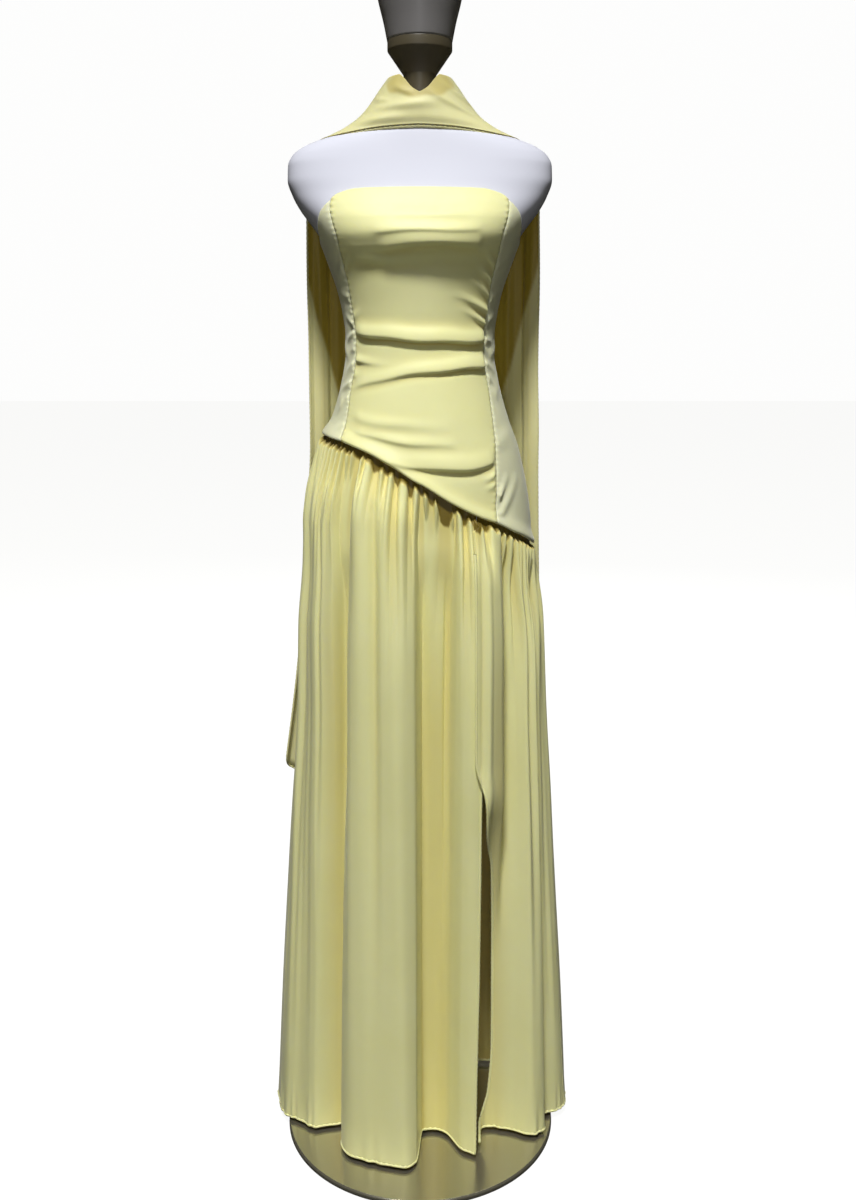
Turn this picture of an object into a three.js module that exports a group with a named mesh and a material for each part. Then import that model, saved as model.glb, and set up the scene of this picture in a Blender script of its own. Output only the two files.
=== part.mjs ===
// A strapless maxi dress with its matching scarf, worn by a limbless dress form on a round base.
// Millimetres, +Z up. The origin is on the floor under the stand's pole, and the front faces -Y.
// Every place on the cloth is an angle round the figure and a height. The angle is 0 at the centre
// front and grows towards +X, so 90 is one side seam, 180 the centre back and -90 the other side.
import * as THREE from "three";

const CLOTH_WALL = 1.5;
const SEAM_GAP = 0.3;
const PANEL_GAP = 0.7;

const FORM_BOTTOM = 826;
const FORM_FULL_FROM = 850;
const FORM_TOP = 1484;
const COLLAR_TOP = 1560;
const CAP_TOP = 1660.5;

const BODICE_CLEARANCE = 3;
const LOWER_EDGE_STANDS_OFF = 3.2;
const SIDE_SEAM = 96;

const SKIRT_CLEARANCE = 2;
const SKIRT_TUCK = 7;
const SKIRT_SIDE_SEAM = 90;
const SKIRT_SEAM_GAP = 0.35;
const HEM_HEIGHT = 15;
const FORM_LETS_GO = 750;
const FORM_HOLDS = 890;
const SKIRT_DRIFT = 14;
const FLUTE_SPREAD = 0.62;
const GATHERS = 50;
const GATHER_DEPTH = 5;
const SLIT_ANGLE = 22;
const SLIT_FREE_TO = 38;

const BASE_RADIUS = 194;
const BASE_THICKNESS = 8;
const BASE_BEVEL = 2;
const POLE_RADIUS = 12.5;
const FLANGE_RADIUS = 32;
const FLANGE_HEIGHT = 26;
const FLANGE_FOOT = 5;
const SLEEVE_WALL = 6;
const SLEEVE_SLOPE = 4;

const GOWN = new THREE.MeshStandardMaterial({ color: 0xe9e6a6, roughness: 0.55 });
const SCARF = new THREE.MeshStandardMaterial({ color: 0xe6e3a2, roughness: 0.6 });
const FORM_WHITE = new THREE.MeshStandardMaterial({ color: 0xe3e4ec, roughness: 0.35 });
const CAP_GREY = new THREE.MeshStandardMaterial({ color: 0x8b8886, roughness: 0.4 });
const COLLAR_DARK = new THREE.MeshStandardMaterial({ color: 0x2f2b21, roughness: 0.5 });
const STEEL = new THREE.MeshStandardMaterial({ color: 0x9a957c, roughness: 0.25, metalness: 0.9 });

// The form's level sections: half width, depth to the front and to the back, and how square the
// outline is (2 is an ellipse). The bust stands out at 1290 and the shoulders at 1370.
const FORM_ROWS = [
  { z: 826, half: 118, front: 66, back: 78, square: 2.1 },
  { z: 833, half: 139, front: 87, back: 99, square: 2.15 },
  { z: 850, half: 150, front: 97, back: 113, square: 2.2 },
  { z: 890, half: 153, front: 102, back: 120, square: 2.25 },
  { z: 930, half: 149, front: 103, back: 119, square: 2.25 },
  { z: 1000, half: 134.5, front: 99, back: 104, square: 2.2 },
  { z: 1035, half: 122, front: 94, back: 94, square: 2.2 },
  { z: 1068, half: 112, front: 88, back: 84, square: 2.15 },
  { z: 1100, half: 104.5, front: 82, back: 77, square: 2.1 },
  { z: 1130, half: 100.5, front: 78, back: 74, square: 2.1 },
  { z: 1155, half: 100.5, front: 77, back: 76, square: 2.1 },
  { z: 1190, half: 105, front: 80, back: 82, square: 2.15 },
  { z: 1220, half: 112, front: 84, back: 88, square: 2.25 },
  { z: 1246, half: 121, front: 89, back: 92, square: 2.35 },
  { z: 1260, half: 126, front: 96, back: 93, square: 2.45 },
  { z: 1274, half: 131, front: 107, back: 94, square: 2.5 },
  { z: 1290, half: 138.5, front: 113, back: 95, square: 2.5 },
  { z: 1308, half: 151, front: 108, back: 96, square: 2.5 },
  { z: 1328, half: 166, front: 96, back: 96, square: 2.5 },
  { z: 1348, half: 177, front: 84, back: 95, square: 2.5 },
  { z: 1370, half: 184, front: 75, back: 91, square: 2.5 },
  { z: 1390, half: 183.5, front: 68, back: 84, square: 2.5 },
  { z: 1403, half: 178, front: 64, back: 77, square: 2.45 },
  { z: 1415, half: 163, front: 60.5, back: 70, square: 2.4 },
  { z: 1427, half: 132.5, front: 57, back: 65, square: 2.35 },
  { z: 1437, half: 102, front: 53.5, back: 60, square: 2.25 },
  { z: 1448, half: 77, front: 50, back: 56, square: 2.15 },
  { z: 1461, half: 60, front: 47, back: 52, square: 2.05 },
  { z: 1484, half: 48, front: 43, back: 46, square: 2 },
];

// The collar on the form's neck and the cap above it, both turned.
const NECK_SIDES = 28;
const COLLAR_ROWS = [
  { radius: 20, z: 1488 },
  { radius: 23, z: 1515 },
  { radius: 45, z: 1547 },
  { radius: 45, z: 1560 },
];
const CAP_ROWS = [
  { radius: 50, z: 1584 },
  { radius: 58, z: 1617 },
  { radius: 60.5, z: 1632 },
  { radius: 58, z: 1644 },
  { radius: 47, z: 1654 },
  { radius: 25, z: 1659 },
];

// The dress's top edge, from the centre front round under the arms to the back.
const NECKLINE_ROWS = [
  { deg: 0, z: 1351 },
  { deg: 22, z: 1349.5 },
  { deg: 33, z: 1343 },
  { deg: 41, z: 1332 },
  { deg: 52, z: 1318 },
  { deg: 64, z: 1301 },
  { deg: 76, z: 1286 },
  { deg: 92, z: 1278 },
  { deg: 125, z: 1274 },
  { deg: 180, z: 1277 },
];

// The slanting seam that joins the bodice to the gathered skirt, all the way round.
const WAIST_SEAM_ROWS = [
  { deg: -90, z: 1019 },
  { deg: -52, z: 1012 },
  { deg: -31, z: 1000 },
  { deg: -14, z: 981 },
  { deg: 0, z: 956 },
  { deg: 13, z: 931 },
  { deg: 29, z: 909 },
  { deg: 39, z: 900 },
  { deg: 52, z: 886 },
  { deg: 90, z: 861 },
  { deg: 130, z: 887 },
  { deg: 180, z: 940 },
  { deg: 230, z: 992 },
];

// The two princess seams: their angle from the centre front at each height.
const PRINCESS_ROWS = [
  { z: 895, deg: 38 },
  { z: 946, deg: 42 },
  { z: 990, deg: 46 },
  { z: 1052, deg: 54 },
  { z: 1090, deg: 57.5 },
  { z: 1150, deg: 57.5 },
  { z: 1190, deg: 58 },
  { z: 1224, deg: 55 },
  { z: 1264, deg: 51 },
  { z: 1302, deg: 46.5 },
  { z: 1335, deg: 39 },
];

// The draped folds of the centre front. Each runs from one place to another, where -1 and 1 are the
// princess seams, and "bow" is how far its middle rises. It stands out by "high" at the place
// "peak" along it and by "weak" far from there, and fades over "above" and "below".
const DRAPE_ROWS = [
  { from: -0.62, zFrom: 1252, to: 0.8, zTo: 1252,
    bow: 9, peak: 0.5, high: 3, weak: 1.5, above: 12, below: 6 },
  { from: -1, zFrom: 1161, to: 1, zTo: 1150,
    bow: -3, peak: 0.55, high: 6.5, weak: 4.2, above: 13, below: 5 },
  { from: -1, zFrom: 1122, to: -0.2, zTo: 1114,
    bow: 0, peak: 0, high: 3, weak: 0, above: 7, below: 5 },
  { from: -0.9, zFrom: 1083, to: 1, zTo: 1117,
    bow: 7, peak: 0.85, high: 5.6, weak: 1.8, above: 12, below: 5 },
  { from: -0.9, zFrom: 1046, to: 0.35, zTo: 1032,
    bow: -4, peak: 0.35, high: 1.8, weak: 0, above: 8, below: 7 },
  { from: -0.85, zFrom: 1028, to: 0.4, zTo: 1010,
    bow: -5, peak: 0.4, high: 1.8, weak: 0, above: 8, below: 7 },
  { from: -0.42, zFrom: 992, to: 0.96, zTo: 986,
    bow: -9, peak: 0.6, high: 5, weak: 0.8, above: 13, below: 8 },
  { from: 0.72, zFrom: 1260, to: 1, zTo: 1234,
    bow: 0, peak: 0.8, high: 2.4, weak: 0, above: 6, below: 5 },
  { from: 0.66, zFrom: 1242, to: 1, zTo: 1216,
    bow: 0, peak: 0.8, high: 2.8, weak: 0, above: 6, below: 5 },
  { from: 0.34, zFrom: 1210, to: 1, zTo: 1186,
    bow: 2, peak: 0.85, high: 3.8, weak: 0, above: 7, below: 5 },
  { from: 0.5, zFrom: 1190, to: 1, zTo: 1171,
    bow: 0, peak: 0.85, high: 3.4, weak: 0, above: 6, below: 5 },
];

// The skirt's level sections where the form no longer carries it.
const SKIRT_ROWS = [
  { z: 15, half: 208, front: 88, back: 156, square: 2 },
  { z: 178, half: 201, front: 90, back: 152, square: 2 },
  { z: 331, half: 193, front: 93, back: 148, square: 2 },
  { z: 482, half: 185, front: 98, back: 142, square: 2 },
  { z: 635, half: 173, front: 103, back: 137, square: 2.05 },
  { z: 744, half: 167, front: 106, back: 133, square: 2.1 },
  { z: 837, half: 160, front: 107, back: 127, square: 2.15 },
];

// The skirt's flutes where they are deepest, at the hem: one row for each crest, valley or turned
// edge, by how far it stands out from the hem's ellipse.
const FLUTE_ROWS = [
  { deg: -90, out: 0 },
  { deg: -73, out: -4 },
  { deg: -61, out: -11 },
  { deg: -50, out: -8 },
  { deg: -40, out: -27 },
  { deg: -33.9, out: -40 },
  { deg: -31.4, out: 14 },
  { deg: -24, out: 35 },
  { deg: -14, out: 43 },
  { deg: -6, out: 49 },
  { deg: -1.4, out: 38 },
  { deg: 1, out: -40 },
  { deg: 6, out: -43 },
  { deg: 10.5, out: -29 },
  { deg: 15.5, out: 11 },
  { deg: 20.5, out: 26 },
  { deg: 22, out: 27 },
  { deg: 26.5, out: -19 },
  { deg: 31, out: -27 },
  { deg: 41, out: -11 },
  { deg: 50, out: 11 },
  { deg: 57.5, out: 8 },
  { deg: 61, out: -29 },
  { deg: 74, out: -14 },
  { deg: 88, out: 3 },
  { deg: 104, out: 15 },
  { deg: 117, out: -20 },
  { deg: 130, out: 21 },
  { deg: 152, out: -26 },
  { deg: 168, out: 6 },
  { deg: 181, out: 19 },
  { deg: 193, out: -25 },
  { deg: 206, out: 22 },
  { deg: 218, out: -19 },
  { deg: 231, out: 23 },
  { deg: 244, out: -21 },
  { deg: 257, out: 12 },
];

// The narrower folds of the upper skirt, which run out into the flutes below.
const UPPER_FOLD_ROWS = [
  { deg: -90, out: 0 },
  { deg: -78, out: 5 },
  { deg: -68, out: -2 },
  { deg: -58, out: 6 },
  { deg: -46, out: 9 },
  { deg: -37.5, out: 7 },
  { deg: -35.2, out: -8 },
  { deg: -33, out: -5 },
  { deg: -30.8, out: -8 },
  { deg: -28.5, out: 7 },
  { deg: -19, out: 9 },
  { deg: -12, out: 2 },
  { deg: -7, out: 8 },
  { deg: -2.6, out: 7 },
  { deg: -0.6, out: -6 },
  { deg: 4, out: 3 },
  { deg: 8, out: -5 },
  { deg: 10.5, out: -7 },
  { deg: 13.5, out: 7 },
  { deg: 18.5, out: 8 },
  { deg: 21, out: 5 },
  { deg: 26, out: 8 },
  { deg: 30.2, out: 7 },
  { deg: 32, out: -7 },
  { deg: 35.5, out: 6 },
  { deg: 40, out: -5 },
  { deg: 44, out: -4 },
  { deg: 51, out: 8 },
  { deg: 59, out: -3 },
  { deg: 69, out: 5 },
  { deg: 80, out: -2 },
  { deg: 90, out: 3 },
  { deg: 103, out: -5 },
  { deg: 116, out: 6 },
  { deg: 129, out: -4 },
  { deg: 140, out: 6 },
  { deg: 152, out: -5 },
  { deg: 165, out: 7 },
  { deg: 177, out: -5 },
  { deg: 189, out: 6 },
  { deg: 200, out: -5 },
  { deg: 212, out: 7 },
  { deg: 225, out: -4 },
  { deg: 238, out: 6 },
  { deg: 251, out: -5 },
];

// The two edges at the slit: how far round the left one has drifted, how far round the right one is,
// and how far the right one is out of the skirt's own face. The right front laps over the left one
// at the top, parts from it and falls behind lower down.
const SLIT_ROWS = [
  { down: 0, left: 0, right: 0.4, out: 0 },
  { down: 0.008, left: 0, right: 0.4, out: 0 },
  { down: 0.018, left: 0, right: 0.3, out: 3 },
  { down: 0.035, left: 0, right: -2.8, out: 5.2 },
  { down: 0.38, left: 0, right: -2.4, out: 5 },
  { down: 0.43, left: -0.1, right: 0.9, out: 7.4 },
  { down: 0.5, left: -0.3, right: 3.2, out: -2 },
  { down: 0.56, left: -0.4, right: 7.2, out: -6 },
  { down: 0.7, left: -0.6, right: 9.8, out: -10 },
  { down: 0.86, left: -1.15, right: 10, out: -10 },
  { down: 0.94, left: -1.35, right: 8.6, out: -9 },
  { down: 0.97, left: -1.45, right: 6, out: -8 },
  { down: 1, left: -1.6, right: 1.8, out: -7 },
];

// The scarf's level sections: wound round the neck at the top, then laid over the shoulders, then
// hanging behind the figure.
const SCARF_ROWS = [
  { z: 445, half: 236, front: 90, back: 186, square: 2.2 },
  { z: 610, half: 216, front: 90, back: 172, square: 2.2 },
  { z: 750, half: 201, front: 90, back: 160, square: 2.25 },
  { z: 890, half: 192, front: 90, back: 146, square: 2.3 },
  { z: 990, half: 188, front: 90, back: 132, square: 2.4 },
  { z: 1140, half: 188, front: 90, back: 118, square: 2.5 },
  { z: 1290, half: 190, front: 90, back: 108, square: 2.5 },
  { z: 1370, half: 190.5, front: 82, back: 101, square: 2.5 },
  { z: 1390, half: 190, front: 78, back: 96, square: 2.5 },
  { z: 1403, half: 184.5, front: 74, back: 91, square: 2.45 },
  { z: 1415, half: 171, front: 70, back: 86, square: 2.4 },
  { z: 1427, half: 139, front: 66, back: 81, square: 2.35 },
  { z: 1439, half: 109, front: 63, back: 75, square: 2.25 },
  { z: 1452, half: 90, front: 60, back: 70, square: 2.1 },
  { z: 1466, half: 76, front: 57.5, back: 65, square: 2 },
  { z: 1481, half: 65, front: 54.5, back: 61, square: 2 },
  { z: 1495, half: 55.5, front: 51, back: 57, square: 2 },
  { z: 1509, half: 45, front: 47, back: 52, square: 2 },
];

const SCARF_TOP_ROWS = [
  { deg: 0, z: 1486 },
  { deg: 11, z: 1496 },
  { deg: 24, z: 1506 },
  { deg: 45, z: 1509 },
  { deg: 90, z: 1508 },
  { deg: 180, z: 1498 },
];

const SCARF_LOW_ROWS = [
  { deg: 0, z: 1428 },
  { deg: 60, z: 1428 },
  { deg: 92, z: 1427 },
  { deg: 115, z: 1417 },
  { deg: 145, z: 1403 },
  { deg: 180, z: 1393 },
];

// Soft folds pulled across the neck: where each starts and ends, and how high and wide it is.
const NECK_FOLD_ROWS = [
  { from: -62, zFrom: 1460, to: 24, zTo: 1468, high: 3.4, wide: 7 },
  { from: -78, zFrom: 1445, to: -8, zTo: 1448, high: 2.6, wide: 6 },
  { from: 4, zFrom: 1487, to: 76, zTo: 1442, high: 3.2, wide: 7 },
  { from: 30, zFrom: 1496, to: 84, zTo: 1464, high: 2.4, wide: 6 },
];

// The scarf's hanging ends: the angles of the outer and the inner edge on the way down.
const LEFT_TAIL_ROWS = [
  { down: 0, outer: 94, inner: 172 },
  { down: 0.03, outer: 122, inner: 168 },
  { down: 0.13, outer: 124.5, inner: 167 },
  { down: 0.33, outer: 125.7, inner: 166 },
  { down: 0.45, outer: 125.5, inner: 165 },
  { down: 0.61, outer: 122.8, inner: 164 },
  { down: 0.85, outer: 121.5, inner: 163 },
  { down: 1, outer: 119.5, inner: 162 },
];

const RIGHT_TAIL_ROWS = [
  { down: 0, outer: 94, inner: 172 },
  { down: 0.03, outer: 117, inner: 167 },
  { down: 0.13, outer: 119.8, inner: 166 },
  { down: 0.33, outer: 121.2, inner: 165 },
  { down: 0.45, outer: 119.8, inner: 164 },
  { down: 0.61, outer: 121.2, inner: 163 },
  { down: 0.85, outer: 126, inner: 162 },
  { down: 1, outer: 130, inner: 162 },
];

const TAILS = [
  { name: "scarf_tail_left", side: -1, rows: LEFT_TAIL_ROWS, lowOuter: 514, lowInner: 448, phase: 0.6 },
  { name: "scarf_tail_right", side: 1, rows: RIGHT_TAIL_ROWS, lowOuter: 490, lowInner: 460, phase: 2.2 },
];
const TAIL_FOLDS = 3;
const TAIL_FOLD_DEPTH = 5;

const radians = (deg) => (deg * Math.PI) / 180;
const mix = (a, b, share) => a + (b - a) * share;
const bell = (value) => Math.exp(-value * value);

function smooth(low, high, value) {
  const share = Math.min(1, Math.max(0, (value - low) / (high - low)));
  return share * share * (3 - 2 * share);
}

// A smooth curve through a table's rows that never swings past them.
function curveOf(rows, key, column) {
  const x = rows.map((row) => row[key]);
  const y = rows.map((row) => row[column]);
  const last = x.length - 1;
  const step = x.slice(1).map((value, i) => (y[i + 1] - y[i]) / (value - x[i]));
  const slope = x.map((_, i) => {
    if (i === 0 || i === last) return step[Math.min(i, last - 1)];
    if (step[i - 1] * step[i] <= 0) return 0;
    return (2 * step[i - 1] * step[i]) / (step[i - 1] + step[i]);
  });
  return (at) => {
    if (at <= x[0]) return y[0];
    if (at >= x[last]) return y[last];
    let i = 0;
    while (x[i + 1] < at) i += 1;
    const width = x[i + 1] - x[i];
    const s = (at - x[i]) / width;
    const level = y[i] * (1 + 2 * s) * (1 - s) ** 2 + y[i + 1] * s * s * (3 - 2 * s);
    return level + width * s * (1 - s) * (slope[i] * (1 - s) - slope[i + 1] * s);
  };
}

// The same, for a table that goes once round the figure.
function roundCurveOf(rows, column) {
  const turned = (by) => rows.map((row) => ({ ...row, deg: row.deg + by }));
  return curveOf([...turned(-360), ...rows, ...turned(360)], "deg", column);
}

// The same, for a table from the centre front to the centre back that serves both sides.
function mirroredCurveOf(rows, column) {
  const curve = curveOf(rows, "deg", column);
  return (deg) => {
    const turn = ((deg % 360) + 360) % 360;
    return curve(Math.min(turn, 360 - turn));
  };
}

function sectionsOf(rows) {
  const columns = ["half", "front", "back", "square"];
  const curves = columns.map((column) => curveOf(rows, "z", column));
  return (z) => Object.fromEntries(columns.map((column, i) => [column, curves[i](z)]));
}

const formSection = sectionsOf(FORM_ROWS);
const freeSkirtSection = sectionsOf(SKIRT_ROWS);
const scarfSection = sectionsOf(SCARF_ROWS);
const neckline = mirroredCurveOf(NECKLINE_ROWS, "z");
const waistSeam = roundCurveOf(WAIST_SEAM_ROWS, "z");
const princess = curveOf(PRINCESS_ROWS, "z", "deg");
const flute = roundCurveOf(FLUTE_ROWS, "out");
const upperFold = roundCurveOf(UPPER_FOLD_ROWS, "out");
const slitDrift = curveOf(SLIT_ROWS, "down", "left");
const slitTurn = curveOf(SLIT_ROWS, "down", "right");
const slitOut = curveOf(SLIT_ROWS, "down", "out");
const scarfTop = mirroredCurveOf(SCARF_TOP_ROWS, "z");
const scarfLow = mirroredCurveOf(SCARF_LOW_ROWS, "z");

// A point at an angle on a section, moved out level by "out".
function onSection(section, deg, z, out) {
  const side = Math.sin(radians(deg));
  const ahead = Math.cos(radians(deg));
  const depth = ahead > 0 ? section.front : section.back;
  const power = 2 / section.square;
  const x = section.half * Math.sign(side) * Math.abs(side) ** power;
  const y = -depth * Math.sign(ahead) * Math.abs(ahead) ** power;
  const nx = (Math.sign(side) * Math.abs(side) ** (2 - power)) / section.half;
  const ny = (-Math.sign(ahead) * Math.abs(ahead) ** (2 - power)) / depth;
  const size = Math.hypot(nx, ny);
  return new THREE.Vector3(x + (out * nx) / size, y + (out * ny) / size, z);
}

// How far the front's draped folds stand out at a place. They die away where a seam holds them.
function drape(deg, z) {
  const across = deg / princess(z);
  const held = smooth(0, 0.1, 1 - Math.abs(across));
  let out = 0;
  for (const fold of DRAPE_ROWS) {
    const along = (across - fold.from) / (fold.to - fold.from);
    const ends = smooth(-0.02, 0.1, along) * smooth(1.02, 0.9, along);
    const crest = mix(fold.zFrom, fold.zTo, along) + 4 * fold.bow * along * (1 - along);
    const height = mix(fold.weak, fold.high, bell((along - fold.peak) / 0.45));
    const off = z - crest;
    out += ends * height * bell(off / (off > 0 ? fold.above : fold.below));
  }
  return held * out;
}

// The bodice's outer face. Its lower edge stands off over the gathers.
function bodicePoint(deg, z, folds = 0) {
  const edge = LOWER_EDGE_STANDS_OFF * bell((z - waistSeam(deg)) / 14);
  return onSection(formSection(z), deg, z, BODICE_CLEARANCE + CLOTH_WALL + edge + folds);
}

function skirtSection(z) {
  const free = freeSkirtSection(z);
  if (z < FORM_LETS_GO) return free;
  const form = formSection(Math.max(z, FORM_FULL_FROM));
  const lift = SKIRT_CLEARANCE + CLOTH_WALL;
  const share = smooth(FORM_LETS_GO, FORM_HOLDS, z);
  return {
    half: mix(free.half, form.half + lift, share),
    front: mix(free.front, form.front + lift, share),
    back: mix(free.back, form.back + lift, share),
    square: mix(free.square, form.square, share),
  };
}

// The fine gathers at the seam, from 0 to 1, uneven in width and height.
function gatherWave(deg) {
  const turn = radians(deg);
  const uneven = 1.1 * Math.sin(7 * turn) + 0.8 * Math.sin(3 * turn + 1);
  const wave = 0.5 + 0.5 * Math.sin(GATHERS * turn + uneven);
  return wave * (0.78 + 0.22 * Math.sin(11 * turn + 2));
}

// The skirt's outer face. "deg" is the angle at the hem: the threads hang straight down, so each
// starts further round at the seam. "down" is 0 at the tucked top edge and 1 at the hem.
function skirtPoint(deg, down, extra = 0) {
  const at = deg + SKIRT_DRIFT * Math.max(0, 1 - down) ** 1.3 * Math.sin(radians(2 * deg));
  const seam = waistSeam(at);
  const z = mix(seam + SKIRT_TUCK, HEM_HEIGHT, down);
  const below = seam - z;
  const deep = flute(deg) * smooth(-2, 60, below) * Math.max(0, down) ** FLUTE_SPREAD;
  const upper = upperFold(deg) * smooth(0, 90, below) * smooth(0.85, 0.2, down);
  const folded = deep + upper;
  const clearOfForm = smooth(FORM_BOTTOM + 34, FORM_BOTTOM - 110, z);
  const besideSlit = smooth(1, 6, Math.abs(deg - SLIT_ANGLE + 1.5));
  const gathered = smooth(-1, 9, below) * smooth(0.42, 0.04, down) * besideSlit;
  const gather = GATHER_DEPTH * gatherWave(deg) * gathered;
  const out = (folded > 0 ? folded : folded * clearOfForm) + gather + extra;
  return onSection(skirtSection(z), at, z, out);
}

function rightSkirtPoint(deg, down) {
  return skirtPoint(deg, down, slitOut(down) * smooth(SLIT_FREE_TO, SLIT_ANGLE + 3, deg));
}

function neckFolds(deg, z) {
  let out = 0;
  for (const fold of NECK_FOLD_ROWS) {
    const along = Math.min(1, Math.max(0, (deg - fold.from) / (fold.to - fold.from)));
    const crest = mix(fold.zFrom, fold.zTo, along);
    out += fold.high * Math.sin(Math.PI * along) * bell((z - crest) / fold.wide);
  }
  return out;
}

function neckScarfPoint(deg, down) {
  const z = mix(scarfTop(deg), scarfLow(deg) + SEAM_GAP, down);
  return onSection(scarfSection(z), deg, z, neckFolds(deg, z));
}

// A hanging end starts at the lower edge of the stretch round the neck. Its own lower edge is cut
// round at the outer corner.
function tailPoint(tail, edges, across, down) {
  const deg = mix(edges.outer(down), edges.inner(down), across);
  const start = mix(tail.rows[0].outer, tail.rows[0].inner, across);
  const end = mix(tail.lowOuter, tail.lowInner, Math.sqrt(Math.max(0, across)));
  const z = mix(scarfLow(start) - SEAM_GAP, end, down);
  const wave = 1 + Math.sin(2 * Math.PI * TAIL_FOLDS * across + tail.phase);
  const out = TAIL_FOLD_DEPTH * wave * smooth(0.02, 0.25, down);
  return onSection(scarfSection(z), tail.side * deg, z, out);
}

// A cloth wall over a grid of places, with its inner face moved in square to the cloth. "place"
// turns a column and a row, each from 0 to 1, into a point of the outer face.
function clothWall(place, columns, rows, round = false) {
  const nudge = 0.002;
  const outward = (u, v) => {
    const across = place(u + nudge, v).sub(place(u - nudge, v));
    const up = place(u, Math.max(0, v - nudge)).sub(place(u, Math.min(1, v + nudge)));
    return across.cross(up).normalize();
  };
  const outer = columns.map((u) => rows.map((v) => place(u, v)));
  const inner = columns.map((u, i) =>
    rows.map((v, j) => outer[i][j].clone().addScaledVector(outward(u, v), -CLOTH_WALL)),
  );
  const points = [];
  const quad = (a, b, c, d) => {
    if (a.distanceTo(c) < b.distanceTo(d)) points.push(a, b, c, a, c, d);
    else points.push(b, c, d, b, d, a);
  };
  const last = columns.length - 1;
  const low = rows.length - 1;
  for (let i = 0; i < (round ? columns.length : last); i += 1) {
    const k = (i + 1) % columns.length;
    for (let j = 0; j < low; j += 1) {
      quad(outer[i][j], outer[i][j + 1], outer[k][j + 1], outer[k][j]);
      quad(inner[i][j], inner[k][j], inner[k][j + 1], inner[i][j + 1]);
    }
    quad(inner[i][0], outer[i][0], outer[k][0], inner[k][0]);
    quad(outer[i][low], inner[i][low], inner[k][low], outer[k][low]);
  }
  for (let j = 0; j < low && !round; j += 1) {
    quad(inner[0][j], inner[0][j + 1], outer[0][j + 1], outer[0][j]);
    quad(outer[last][j], outer[last][j + 1], inner[last][j + 1], inner[last][j]);
  }
  return new THREE.BufferGeometry().setFromPoints(points);
}

const evenly = (count) => Array.from({ length: count + 1 }, (_, i) => i / count);

// Columns spaced evenly along the cloth itself, so that they crowd together on a steep fold.
function columnsAlong(place, count, levels) {
  const fine = 1500;
  const length = [0];
  for (let i = 1; i <= fine; i += 1) {
    let step = 0;
    for (const v of levels) step += place(i / fine, v).distanceTo(place((i - 1) / fine, v));
    length.push(length[i - 1] + step);
  }
  return evenly(count).map((share) => {
    const want = share * length[fine];
    let i = 0;
    while (i < fine - 1 && length[i + 1] < want) i += 1;
    return (i + (want - length[i]) / (length[i + 1] - length[i])) / fine;
  });
}

// A solid of level rings, closed at the bottom and the top.
function stackedSolid(sectionAt, heights, sides) {
  const rings = heights.map((z) =>
    Array.from({ length: sides }, (_, i) => onSection(sectionAt(z), (360 * i) / sides, z, 0)),
  );
  const points = [];
  const top = rings.length - 1;
  const floor = new THREE.Vector3(0, 0, heights[0]);
  const lid = new THREE.Vector3(0, 0, heights[top]);
  for (let i = 0; i < sides; i += 1) {
    const k = (i + 1) % sides;
    for (let j = 0; j < top; j += 1) {
      points.push(rings[j][i], rings[j][k], rings[j + 1][k]);
      points.push(rings[j][i], rings[j + 1][k], rings[j + 1][i]);
    }
    points.push(floor, rings[0][k], rings[0][i]);
    points.push(lid, rings[top][i], rings[top][k]);
  }
  return new THREE.BufferGeometry().setFromPoints(points);
}

// A turned solid from pairs of radius and height.
function turnedSolid(profile, sides) {
  const outline = profile.map(([radius, z]) => new THREE.Vector2(radius, z));
  return new THREE.LatheGeometry(outline, sides).rotateX(Math.PI / 2);
}

const profileOf = (rows) => rows.map(({ radius, z }) => [radius, z]);

const gown = new THREE.Group();

function add(name, geometry, material) {
  const mesh = new THREE.Mesh(geometry, material);
  mesh.name = name;
  gown.add(mesh);
}

function addForm() {
  const heights = FORM_ROWS.map((row) => row.z);
  add("form_torso", stackedSolid(formSection, heights, 30), FORM_WHITE);

  const foot = FORM_TOP + SEAM_GAP;
  const collar = [[0, foot], [COLLAR_ROWS[0].radius, foot], ...profileOf(COLLAR_ROWS)];
  add("neck_collar", turnedSolid([...collar, [0, COLLAR_TOP]], NECK_SIDES), COLLAR_DARK);

  const seat = COLLAR_TOP + SEAM_GAP;
  const cap = [[0, seat], [COLLAR_ROWS.at(-1).radius, seat], ...profileOf(CAP_ROWS)];
  add("neck_cap", turnedSolid([...cap, [0, CAP_TOP]], NECK_SIDES), CAP_GREY);
}

function addStand() {
  const edge = BASE_RADIUS - BASE_BEVEL;
  const upper = BASE_THICKNESS - BASE_BEVEL;
  const rim = [[edge, 0], [BASE_RADIUS, BASE_BEVEL], [BASE_RADIUS, upper], [edge, BASE_THICKNESS]];
  add("base_plate", turnedSolid([[0, 0], ...rim, [0, BASE_THICKNESS]], 44), STEEL);

  const floor = BASE_THICKNESS + SEAM_GAP;
  const bore = POLE_RADIUS + 2 * SEAM_GAP;
  const sleeve = POLE_RADIUS + SLEEVE_WALL;
  const sleeveTop = floor + FLANGE_HEIGHT;
  const slope = floor + FLANGE_FOOT;
  const foot = [[bore, floor], [FLANGE_RADIUS, floor], [FLANGE_RADIUS, slope]];
  const rise = [[sleeve, slope + SLEEVE_SLOPE], [sleeve, sleeveTop]];
  const neck = [...rise, [bore, sleeveTop], [bore, floor]];
  add("pole_flange", turnedSolid([...foot, ...neck], 20), STEEL);

  const top = FORM_BOTTOM - SEAM_GAP;
  const pole = [[0, floor], [POLE_RADIUS, floor], [POLE_RADIUS, top], [0, top]];
  add("pole", turnedSolid(pole, 24), STEEL);
}

// Half a seam's gap as an angle, at a height.
const halfGap = (z) => ((PANEL_GAP / 2 / formSection(z).half) * 180) / Math.PI;

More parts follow.
